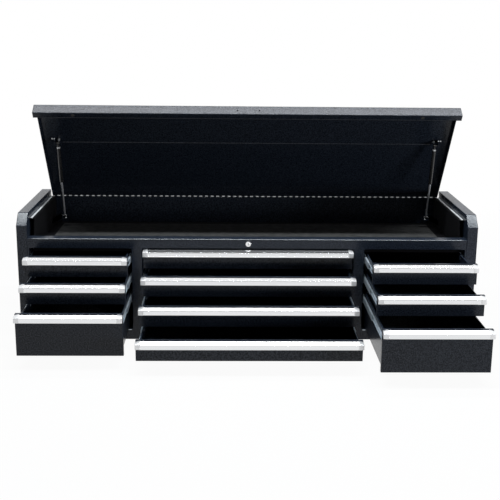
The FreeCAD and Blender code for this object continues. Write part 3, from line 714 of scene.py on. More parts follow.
# %% Bead
BEAD = [(-34.6, 512.9), (-33.4, 511.7), (-31, 511), (-28.6, 511.7), (-27.4, 512.9)]
BEAD_HALF = 786
shape = bmesh.new()
push(shape, BEAD, "X", -BEAD_HALF, BEAD_HALF, 0.2)
finished("lid_bead", shape, "lid", "black_paint", place=HINGE_SWING)
print("bead:", 2 * BEAD_HALF, "mm long")

# %% [markdown]
# ## Drawers
# Each drawer is a box whose sides end in flat hems, with a front folded round like a shallow
# pan. The fold of a hem is tight, so its radius is smaller than the case's.

# %% Drawer boxes
HEM_FOLD = 1.5
for drawer in drawers:
    folded(drawer.name + "_box", drawer.name, drawer.name, "black_paint", HEM_FOLD)

# %% [markdown]
# ## Pulls
# The pull is an aluminium extrusion that runs across the whole drawer: a bevel that catches the
# light, a face, and a small lip for the fingers behind it. A steel shelf joins it to the
# front, in a flat black darker than the coat: painted shade, standing in for the shade behind
# the nosing. Its outline is drawn once, its corners are eased by how sharp each is on the real
# extrusion, and it is pushed along the drawer.

# %% Outlines of the pull
NOSE = [
    (-9.5, 0), (-11, 0), (-26, -7), (-26, -9.4), (-25.2, -10.2), (-25.2, -21.6), (-26, -22.4),
    (-26, -27), (-22, -27), (-22, -25.2), (-23.7, -25.2), (-23.7, -8.3), (-10.6, -2),
    (-9.5, -2),
]
NOSE_RADII = [0.2, 1.0, 0.4, 0.5, 0.4, 0.15, 0.2, 1.4, 0.7, 0.4, 0.4, 1.2, 1.0, 0.2]
SHELF = [(-11, -0.3), (2, -0.3), (2, -14), (0.8, -14), (0.8, -1.5), (-11, -1.5)]
nosing = eased(NOSE, NOSE_RADII)
shelf = eased(SHELF, 0.6, 3)
print("points of the nosing and the shelf:", len(nosing), len(shelf))

# %% [markdown]
# ## Ends of the pulls
# The moulded ends taper to the drawer's edge, and a push can't taper. So they are lofted: a
# few outlines of the same number of points, each smaller than the last, are joined by faces.

# %% Loft and end outlines
PULL_FOOT = 2.0
CAP_LENGTH = 20.0
CAP_EASE = 1.1
CAP_SECTIONS = ((-0.1, -0.15), (6, 0.1), (CAP_LENGTH, 3.6))
STEEP = math.radians(35)


def loft(shape, sections, axis, ease):
    """Joins outlines of equal length, each at its place along an axis, and eases the edges."""
    point = AXES[axis]
    rings = [[shape.verts.new(point(at, a, b)) for a, b in ring] for at, ring in sections]
    faces = [shape.faces.new(rings[0]), shape.faces.new(rings[-1][::-1])]
    for one, two in zip(rings, rings[1:]):
        faces += ring_faces(shape, one, two)
    bmesh.ops.recalc_face_normals(shape, faces=faces)
    edges = {edge for face in faces for edge in face.edges}
    sharp = [e for e in edges if e.calc_face_angle(0) > STEEP]
    bmesh.ops.bevel(shape, geom=sharp, offset=ease, segments=3, profile=0.5,
                    affect="EDGES", clamp_overlap=True)


def cap_outline(drop):
    """The end's outline, drawn in by drop."""
    return [
        (PULL_FOOT, -drop), (-11, -drop), (-26 + drop / 2, -7 - drop / 2),
        (-26 + drop / 2, -27), (-22 + drop / 2, -27), (PULL_FOOT, -14 - drop),
    ]


print("sections of an end:", len(CAP_SECTIONS))

# %% [markdown]
# ## A pull on each drawer
# Nosing, shelf and ends are separate pieces, because each has its own finish. They are made for
# each drawer in turn. The nosing takes the place of the solid's pull.

# %% Pulls
def shifted(outline, a, b):
    return [(x + a, y + b) for x, y in outline]


for drawer in drawers:
    half = drawer.half_front - CAP_LENGTH
    low, high = drawer.x - half, drawer.x + half
    y, z = drawer.face(), drawer.z + drawer.height
    shape = bmesh.new()
    push(shape, shifted(nosing, y, z), "X", low, high)
    finished(drawer.name + "_nosing", shape, drawer.name, "pull_aluminium",
             [drawer.name + "_pull"])
    # The shelf's flat black is painted shade: darker than the coat, it stands in for the shade
    # behind the nosing.
    shape = bmesh.new()
    push(shape, shifted(shelf, y, z), "X", low, high)
    finished(drawer.name + "_shelf", shape, drawer.name, "matt_black")
    shape = bmesh.new()
    for side in (-1, 1):
        sections = [(drawer.x + side * (half + out), shifted(cap_outline(drop), y, z))
                    for out, drop in CAP_SECTIONS]
        loft(shape, sections, "X", CAP_EASE)
    finished(drawer.name + "_pull_ends", shape, drawer.name, "pull_cap")
print("nosing, shelf and ends for", len(drawers), "drawers")

# %% [markdown]
# ## Slides
# A full-extension slide has three nested channels with rows of steel balls between them. The
# outer channel is fixed to the case, the inner one to the drawer, and the middle one follows
# at half speed. Each channel is an outline with lips, eased where the roll former bends it.

# %% Channel outlines
SLIDE_START = 18.0
SLIDE_LENGTH = 500.0
SLIDE_WIDTH = 12.7
LIP = 2.64
CAGE_GAUGE = 0.5
LIPPED_RADII = [2.4, 2.0, 0.5, 0.4, 0.7, 1.2, 1.2, 0.7, 0.4, 0.5, 2.0, 2.4]
OPEN_RADII = [2, 0.5, 0.4, 1, 1, 0.4, 0.5, 2]


def channel(web, tip, half, lip=0.0, gauge=GAUGE):
    """A C section from its web to its open side, with lips where lip gives their length."""
    way = gauge if tip > web else -gauge
    low = [(web, -half), (tip, -half)]
    if lip:
        low += [(tip, -half + lip), (tip - way, -half + lip), (tip - way, -half + gauge)]
    else:
        low += [(tip, -half + gauge)]
    low += [(web + way, -half + gauge)]
    return low + [(x, -z) for x, z in reversed(low)]


CASE_CHANNEL = eased(channel(0.0, 9.525, 17.5, LIP), LIPPED_RADII, 3)
MIDDLE_CHANNEL = eased(channel(3.175, 10.41, 12.42, LIP), LIPPED_RADII, 3)
DRAWER_CHANNEL = eased(channel(SLIDE_WIDTH, 6.22, 8.57), OPEN_RADII, 3)
OUTER_CAGE = eased(channel(2.62, 8.2, 14.6, gauge=CAGE_GAUGE), 0.2, 2)
INNER_CAGE = eased(channel(5.3, 10.2, 10.1, gauge=CAGE_GAUGE), 0.2, 2)
print("points of the case's channel:", len(CASE_CHANNEL))

# %% [markdown]
# ## Slides on both sides of a drawer
# A left and a right slide are mirror images. A Mirror modifier could make the second, but each
# bank has its own middle, so it is easier to turn the outline over. That also turns its faces
# inside out, so the mirrored outline is run in the other order.

# %% Running the slides
CAGE_LENGTH = 122
OUTER_CAGE_START = 372
INNER_CAGE_START = 12
TAB_STARTS = (20, 92)
TAB_GAUGE = 2.4
TAB_HALF = 7
TAB_REACH = (SLIDE_WIDTH - 0.3, SLIDE_WIDTH + 3.0)
HANGER_START = 214
HANGER_HALF = 5
HANGER_HEIGHTS = (-2, 20)
HANGER_REACH = (SLIDE_WIDTH + 1, SLIDE_WIDTH + 2.4)


def sides_of(drawer):
    """For both sides of a drawer: where the bank's wall is, and the way towards the drawer."""
    return ((drawer.x - drawer.opening / 2, 1), (drawer.x + drawer.opening / 2, -1))


def run_slides(shape, outline, drawer, share, start=0.0, length=SLIDE_LENGTH, ease=0.25):
    """Pushes a channel along both sides of a drawer."""
    low = drawer.face(share) + SLIDE_START + start
    for wall, way in sides_of(drawer):
        ring = [(wall + way * x, drawer.slide_z + z) for x, z in outline]
        push(shape, ring if way > 0 else ring[::-1], "Y", low, low + length, ease)


def hang_drawer(shape, drawer):
    """Adds the tabs and the hanger that join the inner channels to the drawer."""
    start = drawer.face() + SLIDE_START
    z = drawer.slide_z
    for wall, way in sides_of(drawer):
        x = [wall + way * reach for reach in TAB_REACH]
        for at in TAB_STARTS:
            y = start + at
            tab = eased(block((y, z - TAB_HALF), (y + TAB_GAUGE, z + TAB_HALF)), 1.0, 3)
            push(shape, tab, "X", min(x), max(x), 0.3)
        y = start + HANGER_START
        low, high = (z + height for height in HANGER_HEIGHTS)
        hanger = eased(block((y - HANGER_HALF, low), (y + HANGER_HALF, high)), 4.5, 6)
        x = [wall + way * reach for reach in HANGER_REACH]
        push(shape, hanger, "X", min(x), max(x), 0.4)


print("walls beside the first drawer:", [wall for wall, way in sides_of(drawers[0])])

# %% [markdown]
# ## Slides of each drawer
# The case's channels never move, so all twenty are one piece. The middle channels ride on
# their own body with the ball cages, and the inner ones on the drawer with what holds them.

# %% Slides
fixed = bmesh.new()
for drawer in drawers:
    run_slides(fixed, CASE_CHANNEL, drawer, 0)
    shape = bmesh.new()
    run_slides(shape, MIDDLE_CHANNEL, drawer, 0.5)
    run_slides(shape, OUTER_CAGE, drawer, 0.5, OUTER_CAGE_START, CAGE_LENGTH, 0)
    run_slides(shape, INNER_CAGE, drawer, 0.5, INNER_CAGE_START, CAGE_LENGTH, 0)
    finished(drawer.name + "_middle_channels", shape, drawer.name + "_slide", "zinc_steel",
             [drawer.name + "_middle_rails"])
    shape = bmesh.new()
    run_slides(shape, DRAWER_CHANNEL, drawer, 1)
    hang_drawer(shape, drawer)
    finished(drawer.name + "_drawer_channels", shape, drawer.name, "zinc_steel",
             [drawer.name + "_rails"])
finished("case_channels", fixed, "case", "zinc_steel", ["case_rails"])
print("pieces so far:", len(made))

# %% [markdown]
# ## What repeats
# Balls, knuckles and screws come by the hundred, all alike and evenly spaced. A Geometry
# Nodes tree makes one and sets it out by its pitch, so one number changes a whole row.
# Instances are made real at the end, because an exported model has no instances.

# %% A helper for Geometry Nodes trees
class Tree:
    """A Geometry Nodes tree with named inputs, ending in real geometry with a finish."""

    def __init__(self, name, sizes):
        self.tree = bpy.data.node_groups.new(name, "GeometryNodeTree")
        face = self.tree.interface
        face.new_socket("Geometry", in_out="INPUT", socket_type="NodeSocketGeometry")
        self.sizes = {}
        for label, value in sizes.items():
            kind = "NodeSocketInt" if isinstance(value, int) else "NodeSocketFloat"
            socket = face.new_socket(label, in_out="INPUT", socket_type=kind)
            socket.default_value = value
            self.sizes[label] = socket.identifier
        material = face.new_socket("Finish", in_out="INPUT", socket_type="NodeSocketMaterial")
        self.sizes["Finish"] = material.identifier
        face.new_socket("Geometry", in_out="OUTPUT", socket_type="NodeSocketGeometry")
        self.given = self.node("NodeGroupInput")

    def node(self, kind, inputs=None, **settings):
        return add_node(self.tree, kind, inputs, **settings)

    def math(self, operation, a, b):
        return self.node("ShaderNodeMath", {0: a, 1: b}, operation=operation)[0]

    def vector(self, **parts):
        return self.node("ShaderNodeCombineXYZ", parts)[0]

    def moved(self, shape, **change):
        return self.node("GeometryNodeTransform", {"Geometry": shape, **change})[0]

    def row(self, instance, count, step):
        """Sets out as many instances as count says, each a step from the last."""
        line = self.node("GeometryNodeMeshLine", {"Count": count, "Offset": step})[0]
        return self.node("GeometryNodeInstanceOnPoints",
                         {"Points": line, "Instance": instance})[0]

    def at_places(self, instance):
        """Puts an instance on each given point, turned by the point's own turn."""
        turn = self.node("GeometryNodeInputNamedAttribute", {"Name": "turn"},
                         data_type="FLOAT_VECTOR")[0]
        turned = self.node("FunctionNodeEulerToRotation", {0: turn})[0]
        return self.node("GeometryNodeInstanceOnPoints", {
            "Points": self.given["Geometry"], "Instance": instance, "Rotation": turned})[0]

    def close(self, instances):
        """Makes the instances real, gives them their finish, and ends the tree."""
        real = self.node("GeometryNodeRealizeInstances", {"Geometry": instances})[0]
        painted = self.node("GeometryNodeSetMaterial",
                            {"Geometry": real, "Material": self.given["Finish"]})[0]
        self.node("NodeGroupOutput", {0: painted})
        return self


print("trees so far:", len(bpy.data.node_groups))

# %% [markdown]
# ## Growing a piece
# A tree runs as a modifier on a mesh that holds only points, one for each place, with the turn
# of each as an attribute. A modifier's input is set by its socket's identifier, before the
# object is first evaluated. What it makes is then kept as a plain mesh.

# %% Grown pieces
def grown(name, tree, places, turns, finish, body, slot=None, **sizes):
    """Runs a tree on points, keeps the plain mesh it makes, and lets it ride on a body."""
    mesh = bpy.data.meshes.new(name)
    mesh.from_pydata([Vector(p) * MM for p in places], [], [])
    turn = mesh.attributes.new("turn", "FLOAT_VECTOR", "POINT")
    for item, value in zip(turn.data, turns):
        item.vector = value
    piece = bpy.data.objects.new(name, mesh)
    scene.collection.objects.link(piece)
    row = piece.modifiers.new("tree", "NODES")
    row.node_group = tree.tree
    for label, value in sizes.items():
        row[tree.sizes[label.replace("_", " ")]] = value
    row[tree.sizes["Finish"]] = finishes[finish]
    settled(piece)
    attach(piece, body)
    made.append(piece)
    print(name, "places:", len(places), "faces:", len(piece.data.polygons))


print("pieces before the first row:", len(made))

# %% [markdown]
# ## Balls of the slides
# Each cage holds a row of balls in its upper and its lower race. The balls are small and
# many, so a coarse sphere with smooth shading is enough.

# %% Ball rows
BALL_PITCH = 12 * MM
BALLS = 10
STRAIGHT = (0, 0, 0)
RACES = {
    "outer": (OUTER_CAGE_START + 8, 6.2, 14.35, 1.85 * MM),
    "inner": (INNER_CAGE_START + 8, 8.0, 9.9, 1.25 * MM),
}


def ball_row_tree():
    tree = Tree("ball_row", {"Radius": 1.9 * MM, "Pitch": BALL_PITCH, "Count": BALLS})
    ball = tree.node("GeometryNodeMeshIcoSphere",
                     {"Radius": tree.given["Radius"], "Subdivisions": 2})[0]
    smooth = tree.node("GeometryNodeSetShadeSmooth", {"Geometry": ball})[0]
    row = tree.row(smooth, tree.given["Count"], tree.vector(Y=tree.given["Pitch"]))
    return tree.close(tree.at_places(row))


ball_rows = ball_row_tree()
for drawer in drawers:
    for race, (start, reach, rise, radius) in RACES.items():
        y = drawer.face(0.5) + SLIDE_START + start
        places = [(wall + way * reach, y, drawer.slide_z + up * rise)
                  for wall, way in sides_of(drawer) for up in (-1, 1)]
        grown(drawer.name + "_" + race + "_balls", ball_rows, places,
              [STRAIGHT] * len(places), "lock_chrome", drawer.name + "_slide", "zinc_steel",
              Radius=radius, Pitch=BALL_PITCH, Count=BALLS)

# %% [markdown]
# ## Screws
# Pan-head screws hold the slides and the brackets. A screw's head is a flattened sphere cut by
# a cross for the driver. The cut is a boolean, made once on the head before it is set out.

# %% A pan-head screw
CROSS_REACH = 1.1
CROSS_DEPTH = 1.2


def screw_tree():
    tree = Tree("pan_head_screws", {
        "Head radius": 3.5 * MM, "Head height": 2 * MM, "Cross width": 1.1 * MM})
    radius, height = tree.given["Head radius"], tree.given["Head height"]
    width = tree.given["Cross width"]
    ball = tree.node("GeometryNodeMeshUVSphere",
                     {"Segments": 20, "Rings": 8, "Radius": 1.0})[0]
    head = tree.moved(ball, Scale=tree.vector(X=radius, Y=radius, Z=height))
    long = tree.math("MULTIPLY", radius, CROSS_REACH)
    deep = tree.math("MULTIPLY", height, CROSS_DEPTH)
    lift = tree.vector(Z=height)
    bars = []
    for first, second in ((long, width), (width, long)):
        size = tree.vector(X=first, Y=second, Z=deep)
        bar = tree.node("GeometryNodeMeshCube", {"Size": size})[0]
        bars.append(tree.moved(bar, Translation=lift))
    cut = tree.node("GeometryNodeMeshBoolean", {"Mesh 1": head, "Mesh 2": bars},
                    operation="DIFFERENCE")["Mesh"]
    return tree.close(tree.at_places(cut))


screws = screw_tree()
print("nodes in the screw's tree:", len(screws.tree.nodes))

# %% [markdown]
# ## Screws of the slides
# Each case channel is screwed to its wall at three places, and each drawer channel to its
# drawer at two. The heads face into the channel, so the turn depends on the side.

# %% Slide screws
TO_RIGHT = (0, math.pi / 2, 0)
TO_LEFT = (0, -math.pi / 2, 0)
CASE_SCREW_STEPS = (26, 240, 470)
DRAWER_SCREW_STEPS = (34, 300)
places, turns = [], []
for drawer in drawers:
    for wall, way in sides_of(drawer):
        for at in CASE_SCREW_STEPS:
            places.append((wall + way * GAUGE, FRONT + SLIDE_START + at, drawer.slide_z))
            turns.append(TO_RIGHT if way > 0 else TO_LEFT)
grown("case_channel_screws", screws, places, turns, "bright_zinc", "case", "zinc_steel",
      Head_radius=3.4 * MM, Head_height=1.3 * MM)
for drawer in drawers:
    places, turns = [], []
    for wall, way in sides_of(drawer):
        for at in DRAWER_SCREW_STEPS:
            y = drawer.face() + SLIDE_START + at
            places.append((wall + way * (SLIDE_WIDTH - GAUGE), y, drawer.slide_z))
            turns.append(TO_LEFT if way > 0 else TO_RIGHT)
    grown(drawer.name + "_channel_screws", screws, places, turns, "bright_zinc", drawer.name,
          "zinc_steel", Head_radius=3.2 * MM, Head_height=1.2 * MM)

# %% [markdown]
# ## Piano hinge
# The lid turns on a hinge as long as the chest. One inch of it holds two knuckles, one rolled
# from each leaf, round a single pin. The tree makes a knuckle with its neck, chamfers its ends,
# and repeats it; the two leaves use the same tree, half a pitch apart.

# %% A knuckle
HINGE_PITCH = 25.4
KNUCKLE = HINGE_PITCH / 2
HINGE_HALF = 857.25
KNUCKLE_CHAMFER = 0.4 * MM
KNUCKLE_TAPER = 0.88
NECK_GAUGE = 1.2 * MM


def knuckle_tree():
    tree = Tree("knuckle_row", {
        "Length": 12.4 * MM, "Radius": 3.5 * MM, "Pitch": HINGE_PITCH * MM, "Count": 68,
        "Neck": 4.5 * MM})
    given = tree.given
    straight = tree.math("SUBTRACT", given["Length"], 2 * KNUCKLE_CHAMFER)
    barrel = tree.node("GeometryNodeMeshCylinder", {
        "Vertices": 20, "Radius": given["Radius"], "Depth": straight})
    ends = tree.node("FunctionNodeBooleanMath", {0: barrel["Top"], 1: barrel["Bottom"]},
                     operation="OR")[0]
    raised = tree.node("GeometryNodeExtrudeMesh", {
        "Mesh": barrel["Mesh"], "Selection": ends, "Offset Scale": KNUCKLE_CHAMFER})
    tapered = tree.node("GeometryNodeScaleElements", {
        "Geometry": raised["Mesh"], "Selection": raised["Top"], "Scale": KNUCKLE_TAPER})[0]
    lying = tree.moved(tapered, Rotation=(0, math.pi / 2, 0))
    half = tree.math("DIVIDE", given["Neck"], 2)
    deep = tree.math("SUBTRACT", given["Radius"], NECK_GAUGE / 2)
    size = tree.vector(X=given["Length"], Y=NECK_GAUGE, Z=given["Neck"])
    plate = tree.node("GeometryNodeMeshCube", {"Size": size})[0]
    neck = tree.moved(plate, Translation=tree.vector(Y=deep, Z=half))
    knuckle = tree.node("GeometryNodeJoinGeometry", {0: [lying, neck]})[0]
    row = tree.row(knuckle, given["Count"], tree.vector(X=given["Pitch"]))
    return tree.close(tree.at_places(row))


knuckles = knuckle_tree()
print("nodes in the knuckle's tree:", len(knuckles.tree.nodes))

# %% [markdown]
# ## Two rows of knuckles
# The lid's row starts half a pitch in and leans with the lid. The case's row is the same one
# turned right round, so that its necks hang down to the lower leaf.

# %% Knuckles
count = int(HINGE_HALF * 2 / HINGE_PITCH + 0.5)
# The lid's row is bright zinc, the case's black paint like the leaves. The bright zinc is partly
# plated metal and partly a painted highlight: it stands in for the bright dashes that light
# draws between the knuckles.
grown("hinge_lid_knuckles", knuckles, [(-HINGE_HALF + KNUCKLE * 1.5, HINGE_Y, HINGE_Z)],
      [(-LID_OPEN, 0, 0)], "bright_zinc", "lid", "zinc_steel", Count=count - 1)
grown("hinge_case_knuckles", knuckles, [(HINGE_HALF - KNUCKLE * 0.5, HINGE_Y, HINGE_Z)],
      [(math.pi, 0, math.pi)], "black_paint", "case", Count=count)

# %% [markdown]
# ## Leaves and pin
# The leaves are two long plates, one inside the lid's back and one inside the case's. The
# solids' knuckles are longer than the real ones, so the leaves aren't copied from them but
# drawn again as plain plates. The pin is a rod with chamfered ends, so it is spun.

# %% Hinge leaves and pin
LEAF_INSIDE = 270.4
LEAF_OUTSIDE = 271.6
LID_LEAF = (490, 512)
CASE_LEAF = (460, 482)
PIN_RADIUS = 1.6
PIN_PROFILE = [(-HINGE_HALF, PIN_RADIUS - 0.5), (-HINGE_HALF + 0.5, PIN_RADIUS),
               (HINGE_HALF - 0.5, PIN_RADIUS), (HINGE_HALF, PIN_RADIUS - 0.5)]


def leaf(low, high):
    """A plate along the whole hinge, from one height to another."""
    shape = bmesh.new()
    outline = eased(block((LEAF_INSIDE, low), (LEAF_OUTSIDE, high)), 0.3, 2)
    push(shape, outline, "X", -HINGE_HALF, HINGE_HALF, 0.3)
    return shape


finished("hinge_lid_leaf_plate", leaf(*LID_LEAF), "lid", "black_paint", ["hinge_lid_leaf"],
         place=HINGE_SWING)
finished("hinge_case_leaf_plate", leaf(*CASE_LEAF), "case", "black_paint", ["hinge_case_leaf"])
shape = bmesh.new()
spin(shape, PIN_PROFILE, (0, HINGE_Y, HINGE_Z), "X", 16)
finished("hinge_rod", shape, "case", "zinc_steel", ["hinge_pin"])
print("hinge:", 2 * HINGE_HALF, "mm long, pieces so far:", len(made))

# %% [markdown]
# ## Rivets of the hinge
# One row of low rivets goes through each leaf. They could be turned one by one, but a rivet's
# head is a screw's head with next to no cross, so the screw's tree makes them too.

# %% Rivets
TO_FRONT = (math.pi / 2, 0, 0)
RIVET_PITCH = 72
RIVETS = 24
CASE_RIVET_Z = 470
LID_RIVET_Z = 502
RIVET_SIZES = {"Head_radius": 2.6 * MM, "Head_height": 1 * MM, "Cross_width": 0.2 * MM}
rivet_steps = [RIVET_PITCH * (i - (RIVETS - 1) / 2) for i in range(RIVETS)]
places = [(x, LEAF_INSIDE, CASE_RIVET_Z) for x in rivet_steps]
grown("hinge_case_rivets", screws, places, [TO_FRONT] * RIVETS, "black_paint", "case",
      **RIVET_SIZES)
places = [HINGE_SWING @ Vector((x, LEAF_INSIDE, LID_RIVET_Z)) for x in rivet_steps]
grown("hinge_lid_rivets", screws, places, [(math.pi / 2 - LID_OPEN, 0, 0)] * RIVETS,
      "black_paint", "lid", **RIVET_SIZES)

# %% [markdown]
# ## Gas struts
# Each strut is a polished rod that slides out of a painted tube. Both are turned parts, so
# each is a profile spun round the strut's axis, drawn upright from its foot and then leaned.

# %% Where the struts stand
STRUT_X = 800.0
STRUT_FOOT = Vector((0, 178, 414))
STRUT_REACH = 320.0
HEAD_Y = HINGE_Y - STRUT_REACH
head = HINGE_SWING @ Vector((0, HEAD_Y, HINGE_Z))
STRUT_LENGTH = (head - STRUT_FOOT).length
STRUT_LEAN = math.atan2(STRUT_FOOT.y - head.y, head.z - STRUT_FOOT.z)
LEANED = Matrix.Translation(STRUT_FOOT) @ Matrix.Rotation(STRUT_LEAN, 4, "X")
print("strut's length and lean:", round(STRUT_LENGTH, 1), round(math.degrees(STRUT_LEAN), 1))

# %% [markdown]
# ## Profiles of a strut
# A profile is a list of (place, radius) pairs. The tube's steps are its rolled groove near the
# rod and its neck at the top, and every edge has a small chamfer to catch the light.

# %% Strut profiles
TUBE_END = STRUT_LENGTH - 16
ROD = [(3, 2.6), (5, 4), (170, 4), (170.5, 5.4), (176, 5.4), (176.5, 3)]
TUBE = [
    (164, 4.2), (164, 6.4), (165, 7.2), (166.4, 7.5), (171, 7.5), (171.8, 6.9), (173.6, 6.9),
    (174.4, 7.5), (TUBE_END - 5, 7.5), (TUBE_END - 3, 7.1), (TUBE_END - 1.4, 6.3),
    (TUBE_END - 0.4, 5), (TUBE_END, 3.8),
]
NECK = [(TUBE_END - 1, 3.2), (TUBE_END + 0.3, 4), (TUBE_END + 10.5, 4), (TUBE_END + 11.5, 3)]
SHOULDER = [(TUBE_END - 9, 7.4), (TUBE_END - 8.4, 7.9), (TUBE_END - 6, 8.3),
            (TUBE_END - 3.4, 8), (TUBE_END - 1.4, 6.9), (TUBE_END, 5), (TUBE_END + 0.4, 3.4)]
EYE = [(-5.5, 3.05), (-5.5, 6.2), (-4.7, 7), (4.7, 7), (5.5, 6.2), (5.5, 3.05)]
SOCKET = [(-6.5, 3.4), (-6.2, 4.6), (-5.2, 6), (-3.6, 6.8), (-2.8, 7), (-2, 6.6),
          (1.6, 6.6), (2.4, 7), (4, 7), (5.6, 6.5), (6.5, 5.2)]
print("the tube ends at", round(TUBE_END, 1), "mm from the foot")

# %% [markdown]
# ## Rods, tubes and sockets
# Rod and eye ride on one body, tube, socket and shoulder on the other, so that the strut
# lengthens when the lid turns. Each part is spun on both sides of the chest at once.

# %% Struts
def mirrored(outline, side):
    """An outline whose first numbers are turned over on the left side."""
    return [(side * first, second) for first, second in outline]


def spin_both(shape, profile, axis, steps, z=0.0):
    """Spins a profile on the axis of both struts. Across the chest it is mirrored."""
    for side in (-1, 1):
        ring = mirrored(profile, side) if axis == "X" else profile
        spin(shape, ring, (side * STRUT_X, 0, z), axis, steps)
    return shape


finished("strut_rods_polished", spin_both(bmesh.new(), ROD, "Z", 28), "strut_rods",
         "polished_rod", ["strut_rods"], place=LEANED)
finished("strut_eyes", spin_both(bmesh.new(), EYE, "X", 32), "strut_rods", "strut_black",
         place=LEANED)
finished("strut_tubes", spin_both(bmesh.new(), TUBE, "Z", 36), "strut_cylinders",
         "strut_black", ["strut_cylinders"], place=LEANED)
shape = spin_both(bmesh.new(), NECK, "Z", 28)
spin_both(shape, SOCKET, "X", 32, STRUT_LENGTH)
finished("strut_sockets", shape, "strut_cylinders", "strut_black", place=LEANED)
finished("strut_shoulders", spin_both(bmesh.new(), SHOULDER, "Z", 36), "strut_cylinders",
         "satin_steel", place=LEANED)
print("pieces so far:", len(made))

# %% [markdown]
# ## Strut brackets
# Each bracket is bent and welded from plate, so it is one outline pushed by its own width. The
# one at the foot is a shelf on the till's wall, with a tab for the strut's pin. The one at the
# head hangs in the lid and holds a ball stud beside a post.

# %% Brackets at the foot
FOOT_BRACKET = [(790, 402), (851.8, 402), (851.8, 378), (853.8, 378), (853.8, 404),
                (810.5, 404), (810.5, 426), (808.5, 426), (808.5, 404), (790, 404)]
FOOT_BRACKET_RADII = [0.5, 2.6, 0.8, 0.4, 2.6, 0.8, 0.4, 0.4, 0.8, 0.5]
FOOT_PIN = [(791.5, 3.6), (792, 4.8), (793, 5), (793.6, 5), (793.6, 3), (808, 3), (808, 5.4),
            (812.6, 5.4), (813, 4.6)]
BRACKET_EASE = 0.4
FOOT_BRACKET_HALF = 12
foot_y = STRUT_FOOT.y
shape = bmesh.new()
pins = bmesh.new()
for side in (-1, 1):
    section = eased(mirrored(FOOT_BRACKET, side), FOOT_BRACKET_RADII, 3)
    push(shape, section, "Y", foot_y - FOOT_BRACKET_HALF, foot_y + FOOT_BRACKET_HALF,
         BRACKET_EASE)
    spin(pins, mirrored(FOOT_PIN, side), STRUT_FOOT, "X", 24)
finished("strut_foot_brackets", shape, "case", "black_paint", ["strut_case_brackets"])
finished("strut_foot_pins", pins, "case", "satin_steel")
print("pieces so far:", len(made))

# %% [markdown]
# ## Brackets in the lid
# A stud sticks out of each bracket towards its strut, and a post hangs beside it from the lid.
# Leaning outlines would be hard to read, so these too are drawn with the lid shut and then
# swung up with it.

# %% Brackets at the head
HEAD_BRACKET = [(797, 510.8), (812, 510.8), (812, 480), (814, 480), (814, 510.8),
                (836, 510.8), (836, 512.8), (797, 512.8)]
HEAD_BRACKET_RADII = [0.4, 0.4, 0.4, 0.4, 0.6, 0.4, 0.4, 0.4]
HEAD_BRACKET_HALF = 10
STUD = [(807.1, 2.8), (807.3, 4), (812, 4), (812, 5.2), (815.4, 5.2), (816, 4.4)]
POST = [(493.3, 3), (493.8, 4), (503.6, 4), (504.2, 5.6), (505, 6), (510, 6), (511, 5)]
shape = bmesh.new()
posts = bmesh.new()
for side in (-1, 1):
    section = eased(mirrored(HEAD_BRACKET, side), HEAD_BRACKET_RADII, 3)
    push(shape, section, "Y", HEAD_Y - HEAD_BRACKET_HALF, HEAD_Y + HEAD_BRACKET_HALF,
         BRACKET_EASE)
    spin(shape, mirrored(STUD, side), (0, HEAD_Y, HINGE_Z), "X", 24)
    spin(posts, POST, (side * STRUT_X, HEAD_Y, 0), "Z", 24)
finished("strut_head_brackets", shape, "lid", "black_paint", ["strut_lid_brackets"],
         place=HINGE_SWING)
finished("strut_head_posts", posts, "lid", "bright_zinc", place=HINGE_SWING)
print("pieces so far:", len(made))

# %% [markdown]
# ## Screws of the brackets
# Two screws go up through each bracket in the lid, and three show on each shelf at the foot.
# Those in the lid hang head down, so they are turned right over and then lean with it.

# %% Bracket screws
HEAD_SCREW_X = (818.5, 827.5)
HEAD_SCREW_Y = HEAD_Y - 2.5
HEAD_SCREW_Z = 509.6
FOOT_SCREW_X = (796, 814.8, 823)
FOOT_SCREW_Z = 404
places = [HINGE_SWING @ Vector((side * x, HEAD_SCREW_Y, HEAD_SCREW_Z))
          for side in (-1, 1) for x in HEAD_SCREW_X]
grown("strut_head_screws", screws, places, [(math.pi - LID_OPEN, 0, 0)] * len(places),
      "bright_zinc", "lid", "zinc_steel", Head_radius=4.2 * MM, Head_height=3 * MM)
places = [(side * x, foot_y, FOOT_SCREW_Z) for side in (-1, 1) for x in FOOT_SCREW_X]
grown("strut_foot_screws", screws, places, [STRAIGHT] * len(places), "bright_zinc", "case",
      "zinc_steel", Head_radius=4 * MM, Head_height=4.5 * MM)

# %% [markdown]
# ## Till mat and rubber buttons
# A grained mat keeps tools from sliding in the till. It lies loose on the floor, its corners
# are cut round and its edge is soft. The buttons under the lid's lip are turned, with a dished
# end.

# %% Till mat and buttons
MAT_HALF = 813.6
MAT_FRONT, MAT_BACK = -214.6, 230.2
MAT_BOTTOM, MAT_TOP = 365.1, 367.9
BUTTON_X = 706
BUTTON_Y = -264.5
BUTTON = [(419.2, 3), (419.5, 5.4), (419.2, 6), (419.5, 6.7), (420.4, 7), (421, 7)]
shape = bmesh.new()
mat = eased(block((-MAT_HALF, MAT_FRONT), (MAT_HALF, MAT_BACK)), 12, 8)
push(shape, mat, "Z", MAT_BOTTOM, MAT_TOP, 0.9)
finished("till_liner", shape, "case", "till_mat", ["till_mat"])
shape = bmesh.new()
for side in (-1, 1):
    spin(shape, BUTTON, (side * BUTTON_X, BUTTON_Y, 0), "Z", 28)
finished("lid_buttons", shape, "lid", "bumper_rubber", ["lid_bumpers"], place=HINGE_SWING)
print("pieces so far:", len(made))

# %% [markdown]
# ## Lock
# A cam lock sits in the middle of the fascia. Its barrel and plug are turned, and its cam is a
# short tapered plate. A keyway could be cut by a boolean, but it is too narrow to look into,
# so a thin dark slip on the plug's face stands for it: painted shade, in place of the shade
# inside the keyway.

